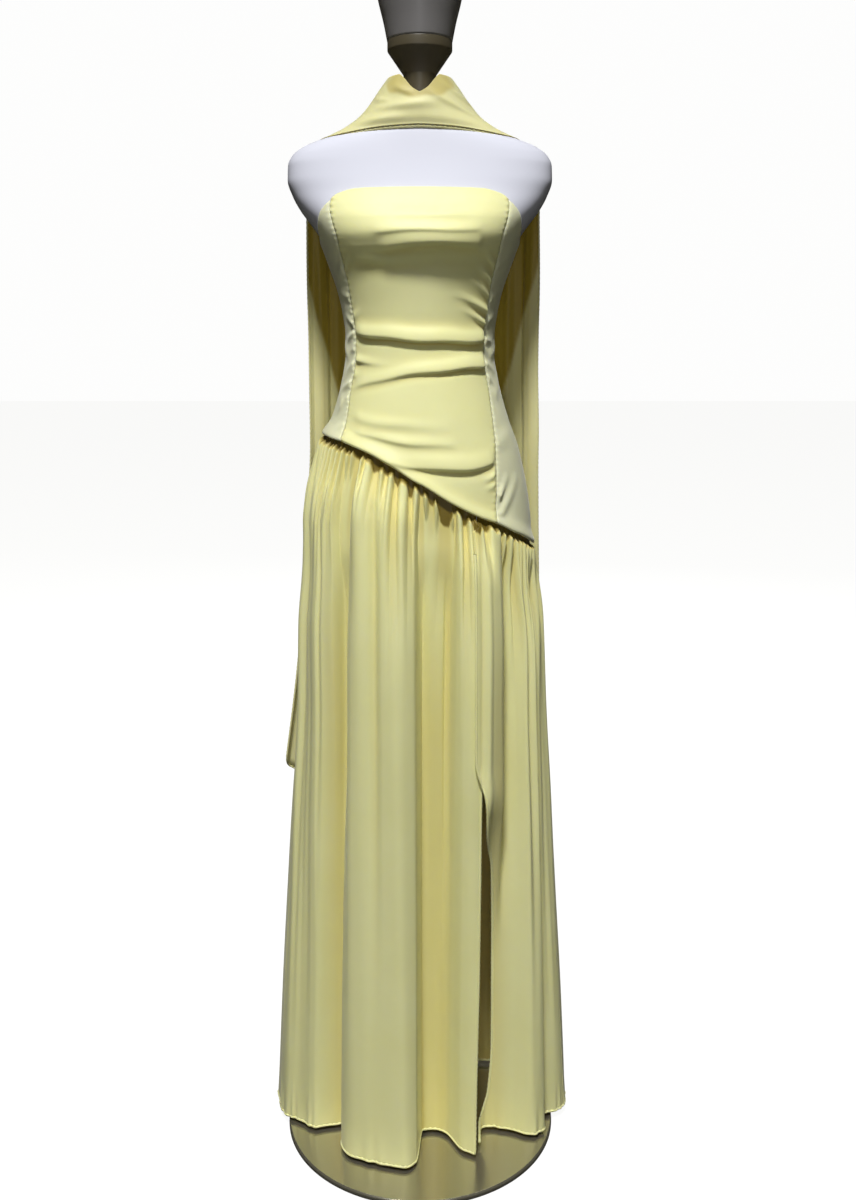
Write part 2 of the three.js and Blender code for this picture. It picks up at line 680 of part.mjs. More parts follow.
// A place on a bodice piece whose edges move with the height, while its height moves with the
// angle: a few rounds of trying settle both.
function settle(degAt, heightAt) {
  let z = heightAt(degAt(1150));
  for (let round = 0; round < 8; round += 1) z = heightAt(degAt(z));
  return { deg: degAt(z), z };
}

// The heights where the drape of the front is sharp, which its rows follow.
const DRAPE_LEVELS = [
  1286, 1270, 1260, 1253, 1246, 1236, 1222, 1207, 1193, 1182, 1172, 1164, 1158, 1153, 1147, 1139,
  1130, 1121, 1113, 1107, 1101, 1091, 1078, 1062, 1046, 1030,
];
const ROWS_ABOVE_DRAPE = 5;
const ROWS_BELOW_DRAPE = 8;

function frontHeight(deg, row) {
  const last = DRAPE_LEVELS.length - 1;
  if (row <= ROWS_ABOVE_DRAPE) return mix(neckline(deg), DRAPE_LEVELS[0], row / ROWS_ABOVE_DRAPE);
  const level = row - ROWS_ABOVE_DRAPE;
  if (level >= last) {
    const share = (level - last) / ROWS_BELOW_DRAPE;
    return mix(DRAPE_LEVELS[last], waistSeam(deg) + SEAM_GAP, share);
  }
  const i = Math.floor(level);
  return mix(DRAPE_LEVELS[i], DRAPE_LEVELS[i + 1], level - i);
}

function addBodiceFront() {
  const rows = ROWS_ABOVE_DRAPE + DRAPE_LEVELS.length - 1 + ROWS_BELOW_DRAPE;
  const place = (u, v) => {
    const even = 2 * u - 1;
    const across = even * (1.25 - 0.25 * even * even);
    const degAt = (z) => across * (princess(z) - halfGap(z));
    const { deg, z } = settle(degAt, (at) => frontHeight(at, v * rows));
    return bodicePoint(deg, z, drape(deg, z));
  };
  add("bodice_front", clothWall(place, evenly(15), evenly(rows)), GOWN);
}

// The rows of the side pieces, closer together over the bust, and those of the plainer back.
const PANEL_LEVELS = [
  0, 0.025, 0.05, 0.075, 0.1, 0.13, 0.16, 0.195, 0.235, 0.28, 0.33, 0.38, 0.43, 0.48, 0.53, 0.58,
  0.63, 0.69, 0.75, 0.81, 0.87, 0.92, 0.965, 1,
];
const BACK_LEVELS = PANEL_LEVELS.filter((_, i) => i % 2 === 0 || i > 20);

function addBodiceSide(name, side) {
  const place = (u, v) => {
    const share = side > 0 ? u : 1 - u;
    const degAt = (z) => side * mix(princess(z) + halfGap(z), SIDE_SEAM - halfGap(z), share);
    const heightAt = (deg) => mix(neckline(deg), waistSeam(deg) + SEAM_GAP, v);
    const { deg, z } = settle(degAt, heightAt);
    return bodicePoint(deg, z);
  };
  add(name, clothWall(place, evenly(5), PANEL_LEVELS), GOWN);
}

function addBodiceBack(name, from, to) {
  const place = (u, v) => {
    const degAt = (z) => mix(from + halfGap(z), to - halfGap(z), u);
    const heightAt = (deg) => mix(neckline(deg), waistSeam(deg) + SEAM_GAP, v);
    const { deg, z } = settle(degAt, heightAt);
    return bodicePoint(deg, z);
  };
  add(name, clothWall(place, evenly(7), BACK_LEVELS), GOWN);
}

function addBodice() {
  addBodiceFront();
  addBodiceSide("bodice_side_left", -1);
  addBodiceSide("bodice_side_right", 1);
  addBodiceBack("bodice_back_left", 180, 360 - SIDE_SEAM);
  addBodiceBack("bodice_back_right", SIDE_SEAM, 180);
}

const SKIRT_LEVELS = [0, 0.008, 0.018, 0.035, 0.075, 0.14, 0.24, 0.38, 0.56, 0.78, 1];
const SLIT_LEVELS = [0, 0.008, 0.018, 0.035, 0.075, 0.14, 0.24, 0.38, 0.43, 0.52, 0.66, 0.82, 1];

function addSkirtPanel(name, from, to, point, count, levels) {
  const place = (u, v) => point(mix(from(v), to(v), u), v);
  const columns = columnsAlong(place, count, [0.025, 0.025, 0.2, 1]);
  add(name, clothWall(place, columns, levels), GOWN);
}

function addSkirt() {
  const left = () => -SKIRT_SIDE_SEAM + SKIRT_SEAM_GAP;
  const slitLeft = (down) => SLIT_ANGLE + slitDrift(down);
  const slitRight = (down) => SLIT_ANGLE + slitTurn(down);
  const right = () => SKIRT_SIDE_SEAM - SKIRT_SEAM_GAP;
  const backStart = () => SKIRT_SIDE_SEAM + SKIRT_SEAM_GAP;
  const backEnd = () => 360 - SKIRT_SIDE_SEAM - SKIRT_SEAM_GAP;
  addSkirtPanel("skirt_front_left", left, slitLeft, skirtPoint, 62, SKIRT_LEVELS);
  addSkirtPanel("skirt_front_right", slitRight, right, rightSkirtPoint, 36, SLIT_LEVELS);
  addSkirtPanel("skirt_back", backStart, backEnd, skirtPoint, 68, SKIRT_LEVELS);
}

function addScarf() {
  const around = evenly(36).slice(0, -1);
  const neck = (u, v) => neckScarfPoint(u > 0.5 ? 360 * u - 360 : 360 * u, v);
  add("scarf_neck", clothWall(neck, around, evenly(7), true), SCARF);

  const levels = evenly(12).map((share) => share ** 1.7);
  for (const tail of TAILS) {
    const edges = {
      outer: curveOf(tail.rows, "down", "outer"),
      inner: curveOf(tail.rows, "down", "inner"),
    };
    const place = (u, v) => tailPoint(tail, edges, tail.side > 0 ? u : 1 - u, v);
    add(tail.name, clothWall(place, evenly(10), levels), SCARF);
  }
}

addForm();
addStand();
addBodice();
addSkirt();
addScarf();

export default gown;
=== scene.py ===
import bpy
import numpy as np
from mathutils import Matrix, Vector


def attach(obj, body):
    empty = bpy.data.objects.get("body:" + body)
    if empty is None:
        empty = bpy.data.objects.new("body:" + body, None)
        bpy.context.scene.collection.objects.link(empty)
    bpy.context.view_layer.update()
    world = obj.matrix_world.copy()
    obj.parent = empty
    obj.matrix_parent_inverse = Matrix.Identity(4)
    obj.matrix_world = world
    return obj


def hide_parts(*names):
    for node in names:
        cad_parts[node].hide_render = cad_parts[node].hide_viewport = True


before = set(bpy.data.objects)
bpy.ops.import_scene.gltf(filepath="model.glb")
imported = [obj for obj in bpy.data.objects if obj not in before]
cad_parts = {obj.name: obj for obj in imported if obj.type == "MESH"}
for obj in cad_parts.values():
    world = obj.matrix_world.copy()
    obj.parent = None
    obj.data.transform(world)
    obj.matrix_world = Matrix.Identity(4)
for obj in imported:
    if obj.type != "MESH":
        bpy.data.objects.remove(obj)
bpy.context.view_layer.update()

# The dress form's torso: one smooth moulded shell of white plastic without arms, which carries the
# dress and the scarf. Each row is a height and the level section there: half width, depth to the
# front, depth to the back and how square the outline is.
FORM_ROWS = [
    (826, 118, 66, 78, 2.1), (833, 139, 87, 99, 2.15), (850, 150, 97, 113, 2.2),
    (890, 153, 102, 120, 2.25), (930, 149, 103, 119, 2.25), (1000, 134.5, 99, 104, 2.2),
    (1035, 122, 94, 94, 2.2), (1068, 112, 88, 84, 2.15), (1100, 104.5, 82, 77, 2.1),
    (1130, 100.5, 78, 74, 2.1), (1155, 100.5, 77, 76, 2.1), (1190, 105, 80, 82, 2.15),
    (1220, 112, 84, 88, 2.25), (1246, 121, 89, 92, 2.35), (1260, 126, 96, 93, 2.45),
    (1274, 131, 107, 94, 2.5), (1290, 138.5, 113, 95, 2.5), (1308, 151, 108, 96, 2.5),
    (1328, 166, 96, 96, 2.5), (1348, 177, 84, 95, 2.5), (1370, 184, 75, 91, 2.5),
    (1390, 183.5, 68, 84, 2.5), (1403, 178, 64, 77, 2.45), (1415, 163, 60.5, 70, 2.4),
    (1427, 132.5, 57, 65, 2.35), (1437, 102, 53.5, 60, 2.25), (1448, 77, 50, 56, 2.15),
    (1461, 60, 47, 52, 2.05), (1484, 48, 43, 46, 2),
]


def mix(a, b, share):
    return a + (b - a) * share


def bell(value):
    return np.exp(-value * value)


def smooth(low, high, value):
    share = np.clip((value - low) / (high - low), 0, 1)
    return share * share * (3 - 2 * share)


def smooth_curve(xs, ys):
    """A smooth curve through a table's rows that never swings past them."""
    xs, ys = np.array(xs, float), np.array(ys, float)
    step = np.diff(ys) / np.diff(xs)
    before, after = step[:-1], step[1:]
    rising = before * after > 0
    slope = np.empty_like(ys)
    slope[0], slope[-1] = step[0], step[-1]
    slope[1:-1] = np.where(rising, 2 * before * after / np.where(rising, before + after, 1), 0)

    def at(value):
        value = np.clip(value, xs[0], xs[-1])
        i = np.clip(np.searchsorted(xs, value, side="right") - 1, 0, len(xs) - 2)
        width = xs[i + 1] - xs[i]
        s = (value - xs[i]) / width
        level = ys[i] * (1 + 2 * s) * (1 - s) ** 2 + ys[i + 1] * s * s * (3 - 2 * s)
        return level + width * s * (1 - s) * (slope[i] * (1 - s) - slope[i + 1] * s)

    return at


def sections(rows):
    columns = list(zip(*rows))
    curves = [smooth_curve(columns[0], column) for column in columns[1:]]
    return lambda z: [curve(z) for curve in curves]


def on_section(section, deg, z, out=0):
    """Points at angles on level sections, moved out level by "out"."""
    half, front, back, square = section
    side, ahead = np.sin(np.radians(deg)), np.cos(np.radians(deg))
    depth = np.where(ahead > 0, front, back)
    power = 2 / square
    x = half * np.sign(side) * np.abs(side) ** power
    y = -depth * np.sign(ahead) * np.abs(ahead) ** power
    nx = np.sign(side) * np.abs(side) ** (2 - power) / half
    ny = -np.sign(ahead) * np.abs(ahead) ** (2 - power) / depth
    size = np.hypot(nx, ny)
    return np.stack(np.broadcast_arrays(x + out * nx / size, y + out * ny / size, z), -1)


def grid_faces(rows, columns, start=0, round_about=False):
    """Faces of a grid whose rows go down and whose columns go round, seen from outside."""
    i = np.arange(rows - 1)[:, None]
    j = np.arange(columns if round_about else columns - 1)[None, :]
    k = (j + 1) % columns
    corners = [i * columns + j, (i + 1) * columns + j, (i + 1) * columns + k, i * columns + k]
    return start + np.stack(np.broadcast_arrays(*corners), -1).reshape(-1, 4)


def make_piece(name, points, faces, material, node, flat_from=None, laid_out=None):
    """A mesh piece from points in mm. Faces from number "flat_from" on are not smoothed, and
    "laid_out" is where each point lies on the flat cloth, in metres."""
    mesh = bpy.data.meshes.new(name)
    mesh.from_pydata((points * 0.001).tolist(), [], [list(face) for face in faces])
    is_smooth = np.ones(len(mesh.polygons), bool)
    if flat_from is not None:
        is_smooth[flat_from:] = False
    mesh.polygons.foreach_set("use_smooth", is_smooth)
    if laid_out is not None:
        corner = np.empty(len(mesh.loops), np.int32)
        mesh.loops.foreach_get("vertex_index", corner)
        mesh.uv_layers.new(name="laid_out").uv.foreach_set("vector", laid_out[corner].ravel())
    mesh.materials.append(material)
    mesh.update()
    piece = bpy.data.objects.new(name, mesh)
    bpy.context.scene.collection.objects.link(piece)
    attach(piece, "root")
    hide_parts(node)
    return piece


def new_material(name, **values):
    """A material with values set on the shader's own sockets, whose names use _ for a space."""
    material = bpy.data.materials.new(name)
    material.use_nodes = True
    shader = material.node_tree.nodes["Principled BSDF"]
    for socket, value in values.items():
        shader.inputs[socket.replace("_", " ")].default_value = value
    return material, material.node_tree, shader


def place_node(tree, kind, values=(), links=(), **settings):
    """A shader node with its settings, its plain values and what is plugged into it."""
    made = tree.nodes.new(kind)
    for key, value in settings.items():
        setattr(made, key, value)
    for key, value in dict(values).items():
        made.inputs[key].default_value = value
    for key, source in dict(links).items():
        tree.links.new(source, made.inputs[key])
    return made


def moulded_material(name, colour, other_colour, roughness, uneven, bump, **values):
    """Moulded or worked surface: colour and gloss that vary softly, over a very fine ripple."""
    material, tree, shader = new_material(name, **values)
    place = place_node(tree, "ShaderNodeTexCoord").outputs["Object"]
    cloud, smudge, ripple = [
        place_node(
            tree, "ShaderNodeTexNoise", {"Scale": scale, "Detail": detail}, {"Vector": place}
        )
        for scale, detail in ((7.0, 3.0), (38.0, 5.0), (260.0, 2.0))
    ]
    tint = place_node(
        tree, "ShaderNodeMix", {6: (*colour, 1), 7: (*other_colour, 1)},
        {0: cloud.outputs["Fac"]}, data_type="RGBA",
    )
    gloss = place_node(
        tree, "ShaderNodeMapRange", {"To Min": roughness - uneven, "To Max": roughness + uneven},
        {"Value": smudge.outputs["Fac"]},
    )
    relief = place_node(
        tree, "ShaderNodeBump", {"Strength": bump, "Distance": 0.0004},
        {"Height": ripple.outputs["Fac"]},
    )
    tree.links.new(tint.outputs[2], shader.inputs["Base Color"])
    tree.links.new(gloss.outputs["Result"], shader.inputs["Roughness"])
    tree.links.new(relief.outputs["Normal"], shader.inputs["Normal"])
    return material


def closed_rings(name, rings, top, low, material, node):
    """A solid of level rings from the top down, closed at the heights "top" and "low"."""
    rows, columns = rings.shape[:2]
    count = rows * columns
    j = np.arange(columns)
    k = (j + 1) % columns
    last = count - columns
    faces = grid_faces(rows, columns, 0, True).tolist()
    faces += np.stack([np.full(columns, count), j, k], -1).tolist()
    faces += np.stack([np.full(columns, count + 1), last + k, last + j], -1).tolist()
    points = np.vstack([rings.reshape(-1, 3), [[0, 0, top], [0, 0, low]]])
    make_piece(name, points, faces, material, node)


FORM_COLUMNS = 150
form_section = sections(FORM_ROWS)
form_heights = np.concatenate([
    np.linspace(1484, 1400, 34)[:-1], np.linspace(1400, 1240, 50)[:-1],
    np.linspace(1240, 850, 60)[:-1], np.linspace(850, 826, 12),
])
white_gloss = moulded_material(
    "white_gloss", (0.67, 0.68, 0.765), (0.64, 0.65, 0.735), 0.6, 0.05, 0.05,
    Specular_IOR_Level=0.15,
)
z, turn = np.meshgrid(
    form_heights, np.arange(FORM_COLUMNS) * 360 / FORM_COLUMNS, indexing="ij"
)
closed_rings(
    "form_torso_shell", on_section(form_section(z), turn, z), form_heights[0], form_heights[-1],
    white_gloss, "form_torso",
)

# The neck's dark collar, a turned cone of satin plastic that is fixed on the form's neck, and the
# smooth grey plastic cap that stands on its rim.
CORNER_STEPS = 4


def turned_rings(profile, columns):
    deg = np.radians(np.arange(columns) * 360 / columns)
    ring = np.stack([np.sin(deg), -np.cos(deg), np.zeros(columns)], -1)
    return profile[:, None, 0, None] * ring + profile[:, None, 1, None] * [0, 0, 1]


def turned(name, profile, columns, material, node):
    """A turned piece from pairs of radius and height, listed from the bottom centre to the top."""
    profile = np.array(profile, float)[::-1]
    rings = turned_rings(profile[1:-1], columns)
    closed_rings(name, rings, profile[0, 1], profile[-1, 1], material, node)


def eased(corners, radius):
    """The same outline with every corner rounded off."""
    corners = np.array(corners, float)
    out = [corners[0]]
    for before, corner, after in zip(corners, corners[1:], corners[2:]):
        back, on = before - corner, after - corner
        reach = min(radius, 0.45 * np.hypot(*back), 0.45 * np.hypot(*on))
        start = corner + back / np.hypot(*back) * reach
        end = corner + on / np.hypot(*on) * reach
        for share in np.linspace(0, 1, CORNER_STEPS + 1):
            out.append(mix(mix(start, corner, share), mix(corner, end, share), share))
    return [*out, corners[-1]]


collar_dark = moulded_material(
    "collar_dark", (0.090, 0.074, 0.043), (0.072, 0.060, 0.035), 0.42, 0.07, 0.1,
    Specular_IOR_Level=0.5,
)
cap_grey = moulded_material(
    "cap_grey", (0.195, 0.187, 0.185), (0.165, 0.158, 0.155), 0.5, 0.06, 0.06,
    Coat_Weight=0.1, Coat_Roughness=0.3,
)
COLLAR = [(0, 1484.3), (20, 1484.3), (23, 1515), (45, 1547), (45, 1560), (0, 1560)]
turned("neck_collar_cone", eased(COLLAR, 1.2), 96, collar_dark, "neck_collar")
CAP_SIDE = smooth_curve(
    [1560.3, 1584, 1617, 1632, 1644, 1654, 1659], [45.3, 50, 58, 60.5, 58, 47, 25]
)
cap_heights = np.linspace(1560.3, 1659, 44)
cap = [(0, 1560.3), *[(CAP_SIDE(z), z) for z in cap_heights], (0, 1660.5)]
turned("neck_cap_dome", cap, 96, cap_grey, "neck_cap")

# The stand: a round plate of polished steel 8 mm thick, a turned flange welded on it, and the
# steel pole that is pushed into the flange and holds the form up.
steel = moulded_material(
    "stand_steel", (0.50, 0.475, 0.37), (0.43, 0.405, 0.31), 0.2, 0.05, 0.05,
    Metallic=0.85, Specular_IOR_Level=0.5,
)
PLATE = [(0, 0), (192, 0), (194, 2), (194, 6), (192, 8), (0, 8)]
turned("base_plate_disc", eased(PLATE, 1), 160, steel, "base_plate")
POLE = [(0, 8.3), (12.5, 8.3), (12.5, 825.7), (0, 825.7)]
turned("pole_tube", eased(POLE, 0.6), 48, steel, "pole")
FLANGE = [
    (13.1, 8.3), (32, 8.3), (32, 13.3), (18.5, 17.3), (18.5, 34.3), (13.1, 34.3), (13.1, 8.3),
]


def turned_ring(name, profile, columns, material, node):
    """A turned piece with a hole through it, from a closed outline of radius and height."""
    points = turned_rings(np.array(profile, float)[::-1], columns).reshape(-1, 3)
    faces = grid_faces(len(profile), columns, 0, True)
    make_piece(name, points, faces, material, node)


flange_outline = eased(FLANGE, 1)[:-1]
turned_ring(
    "pole_flange_ring", [*flange_outline, flange_outline[0]], 64, steel,
    "pole_flange",
)

# The bodice's draped centre front: one length of satin crepe, cut longer than the form, pulled
# round it and caught in uneven folds in the two princess seams. Its lower edge is turned under
# and stands off over the gathers.
CLOTH_WALL = 1.3
BODICE_CLEARANCE = 3.2
LOWER_EDGE_STANDS_OFF, EDGE_TURNS_IN = 7.5, 1.8
PANEL_GAP = 0.7
EDGE_ROOM = 0.3
SEAM_DIP = 1.1
MM_A_DEGREE = 1.9

NECKLINE_ROWS = [
    (0, 1351), (22, 1349.5), (33, 1343), (41, 1332), (52, 1318), (64, 1301), (76, 1286),
    (92, 1278), (125, 1274), (180, 1277),
]
WAIST_SEAM_ROWS = [
    (-90, 1019), (-52, 1012), (-31, 1000), (-14, 981), (0, 956), (13, 931), (29, 909), (39, 900),
    (52, 886), (90, 861), (130, 887), (180, 940), (230, 992),
]
PRINCESS_ROWS = [
    (895, 38), (946, 42), (990, 46), (1052, 54), (1090, 57.5), (1150, 57.5), (1190, 58),
    (1224, 55), (1264, 51), (1302, 46.5), (1335, 39),
]
# Each fold runs from one place to another, where -1 and 1 are the princess seams. "bow" is how far
# its middle rises. It stands out by "high" at "peak" along it and by "weak" far from there, fades
# over "above" and "below", and hangs over by "hang".
DRAPE_COLUMNS = "start z_start end z_end bow peak high weak above below hang".split()
DRAPE_ROWS = [
    (-0.40, 1270, 0.66, 1275, 6, 0.52, 5.0, 0.6, 11, 4.0, 4),
    (-0.80, 1258, 0.10, 1250, 0, 0.30, 2.0, 0.4, 12, 6.0, 1),
    (-0.45, 1290, 0.62, 1293, 2, 0.50, 3.0, 0.4, 7, 3.6, 2),
    (-0.20, 1311, 0.45, 1313, 1, 0.50, 1.0, 0.3, 6, 5.0, 0),
    (-1.02, 1161, 1.02, 1150, -3, 0.55, 8.4, 5.6, 13, 3.6, 5),
    (-1.00, 1122, -0.20, 1114, 0, 0.00, 3.8, 0.0, 7, 3.6, 1),
    (-0.94, 1083, 1.02, 1117, 7, 0.88, 7.2, 2.2, 12, 3.6, 4),
    (-0.90, 1046, 0.35, 1032, -4, 0.35, 2.2, 0.0, 9, 6.0, 0),
    (-0.85, 1030, 0.42, 1008, -5, 0.45, 3.2, 0.4, 9, 5.0, 1),
    (-0.46, 992, 0.98, 986, -9, 0.60, 6.4, 1.0, 15, 5.0, 4),
    (0.70, 1268, 1.00, 1243, 0, 0.80, 2.6, 0.0, 5, 3.6, 0),
    (0.62, 1250, 1.00, 1222, 0, 0.80, 3.0, 0.0, 5, 3.6, 0),
    (0.52, 1232, 1.00, 1204, 1, 0.80, 2.4, 0.0, 5, 4.0, 0),
    (0.30, 1210, 1.00, 1186, 2, 0.85, 4.6, 0.0, 7, 4.0, 1),
    (0.46, 1190, 1.02, 1171, 0, 0.90, 4.4, 0.0, 6, 3.6, 2),
    (0.72, 960, 1.02, 968, -2, 0.80, 2.6, 0.0, 5, 4.0, 0),
    (0.76, 948, 1.02, 955, -2, 0.80, 2.4, 0.0, 4, 4.0, 0),
    (-1.02, 1240, -0.80, 1262, 0, 0.20, 2.0, 0.0, 6, 4.0, 0),
    (-1.00, 1178, -0.72, 1190, 0, 0.10, 1.8, 0.0, 6, 5.0, 0),
    (-1.00, 1102, -0.80, 1100, 0, 0.10, 1.6, 0.0, 5, 4.0, 0),
]


def mirrored_curve(rows):
    """A table from the centre front to the centre back that serves both sides."""
    curve = smooth_curve(*zip(*rows))
    return lambda deg: curve(np.minimum(np.mod(deg, 360), 360 - np.mod(deg, 360)))


def round_curve(rows):
    """A table that goes once round the figure."""
    deg, value = np.array(rows, float).T
    return smooth_curve(np.concatenate([deg - 360, deg, deg + 360]), np.tile(value, 3))


neckline = mirrored_curve(NECKLINE_ROWS)
waist_seam = round_curve(WAIST_SEAM_ROWS)
princess = smooth_curve(*zip(*PRINCESS_ROWS))


def drape(deg, z):
    """How far the draped folds stand out and hang over at each place of the centre front."""
    across = deg / princess(z)
    out, droop = np.zeros_like(z), np.zeros_like(z)
    for row in DRAPE_ROWS:
        fold = dict(zip(DRAPE_COLUMNS, row))
        along = (across - fold["start"]) / (fold["end"] - fold["start"])
        ends = smooth(-0.04, 0.12, along) * smooth(1.04, 0.92, along)
        crest = mix(fold["z_start"], fold["z_end"], along) + 4 * fold["bow"] * along * (1 - along)
        crest += 0.8 * np.sin(across * 9 + fold["z_start"])
        strength = bell((along - fold["peak"]) / 0.45)
        height = mix(fold["weak"], fold["high"], strength)
        off = z - crest
        ridge = bell(off / np.where(off > 0, fold["above"], fold["below"]))
        under = bell((off + 2.4 * fold["below"]) / (1.5 * fold["below"]))
        out += ends * (height * ridge - 0.16 * height * under)
        droop += ends * fold["hang"] * strength * bell(off / fold["below"] / 1.6)
    held = smooth(0, 0.07, 1 - np.abs(across))
    return np.maximum(out * held, -2.4), droop * held


def bodice_points(deg, z, folds, from_seam):
    over_edge = z - waist_seam(deg)
    edge = LOWER_EDGE_STANDS_OFF * bell(over_edge / 15) - EDGE_TURNS_IN * bell(over_edge / 2.2)
    dip = SEAM_DIP * bell(from_seam / 2.2)
    return on_section(form_section(z), deg, z, BODICE_CLEARANCE + CLOTH_WALL + edge + folds - dip)


def outward(points, round_about=False):
    """The cloth's outer side at each point of a grid."""
    if round_about:
        across = np.roll(points, -1, axis=1) - np.roll(points, 1, axis=1)
    else:
        across = np.gradient(points, axis=1)
    normal = np.cross(across, -np.gradient(points, axis=0))
    return normal / np.maximum(np.linalg.norm(normal, axis=-1, keepdims=True), 1e-9)


def laid_out_flat(points):
    """Where each point of a grid lies on the flat cloth, in metres."""
    along = np.linalg.norm(np.diff(points, axis=1), axis=-1).max(axis=0)
    down = np.linalg.norm(np.diff(points, axis=0), axis=-1).mean(axis=1)
    u = np.concatenate([[0], np.cumsum(along)]) * 0.001
    v = -np.concatenate([[0], np.cumsum(down)]) * 0.001
    return np.stack(np.meshgrid(u, v), -1).reshape(-1, 2)


def sunk_in_folds(points, reach, full_depth):
    """How deep in a fold each point of a grid lies, from 0 on a ridge to 1 in a deep valley."""
    share = np.hanning(2 * reach + 3)[1:-1]
    share /= share.sum()
    padded = np.pad(points, ((0, 0), (reach, reach), (0, 0)), mode="edge")
    count = points.shape[1]
    middle = sum(w * padded[:, i:i + count] for i, w in enumerate(share))
    depth = ((middle - points) * outward(points)).sum(axis=-1)
    return np.clip(depth / full_depth, 0, 1)


def cloth_piece(name, outer, material, node, painted_shade, round_about=False, inside=0):
    """A thin closed sheet over a grid of outer points, whose rows go down from the top edge, with
    shade painted on it as given. Its inner side is painted at least as deep in shade as "inside"."""
    rows, columns = outer.shape[:2]
    inner = outer - CLOTH_WALL * outward(outer, round_about)
    count = rows * columns
    front = grid_faces(rows, columns, 0, round_about)
    back = grid_faces(rows, columns, count, round_about)[:, ::-1]
    j = np.arange(columns if round_about else columns - 1)
    k = (j + 1) % columns
    low = (rows - 1) * columns
    rims = [
        np.stack([count + j, j, k, count + k], -1),
        np.stack([low + j, low + count + j, low + count + k, low + k], -1),
    ]
    if not round_about:
        i = np.arange(rows - 1) * columns
        end = columns - 1
        rims.append(np.stack([count + i, count + i + columns, i + columns, i], -1))
        rims.append(np.stack(
            [i + end, i + columns + end, count + i + columns + end, count + i + end], -1
        ))
    faces = np.vstack([front, back, *rims])
    points = np.vstack([outer.reshape(-1, 3), inner.reshape(-1, 3)])
    flat = np.tile(laid_out_flat(outer), (2, 1))
    piece = make_piece(
        name, points, faces, material, node, len(front) + len(back), flat
    )
    # The painted shade is stored on the points, on the inner side at least as deep as "inside".
    values = piece.data.attributes.new("painted_shade", "FLOAT", "POINT").data
    outer_painted_shade = np.ravel(painted_shade)
    values.foreach_set("value", np.concatenate([outer_painted_shade, np.maximum(outer_painted_shade, inside)]))
    return piece


SETTLES_FROM, SETTLING_ROUNDS = 1150.0, 8


def settled(deg_at, height_at):
    """Places whose edges move with the height while their height moves with the angle."""
    z = height_at(deg_at(np.full(1, SETTLES_FROM)))
    for _ in range(SETTLING_ROUNDS):
        z = height_at(deg_at(z))
    return deg_at(z), z


def half_gap(z):
    return np.degrees(PANEL_GAP / 2 / form_section(z)[0])


def seam_puckers(z, from_seam, high):
    """The small puckers that a line of stitches leaves beside it."""
    return high * np.sin(z / 1.25 + 2 * np.sin(z / 17)) * bell(from_seam / 5)


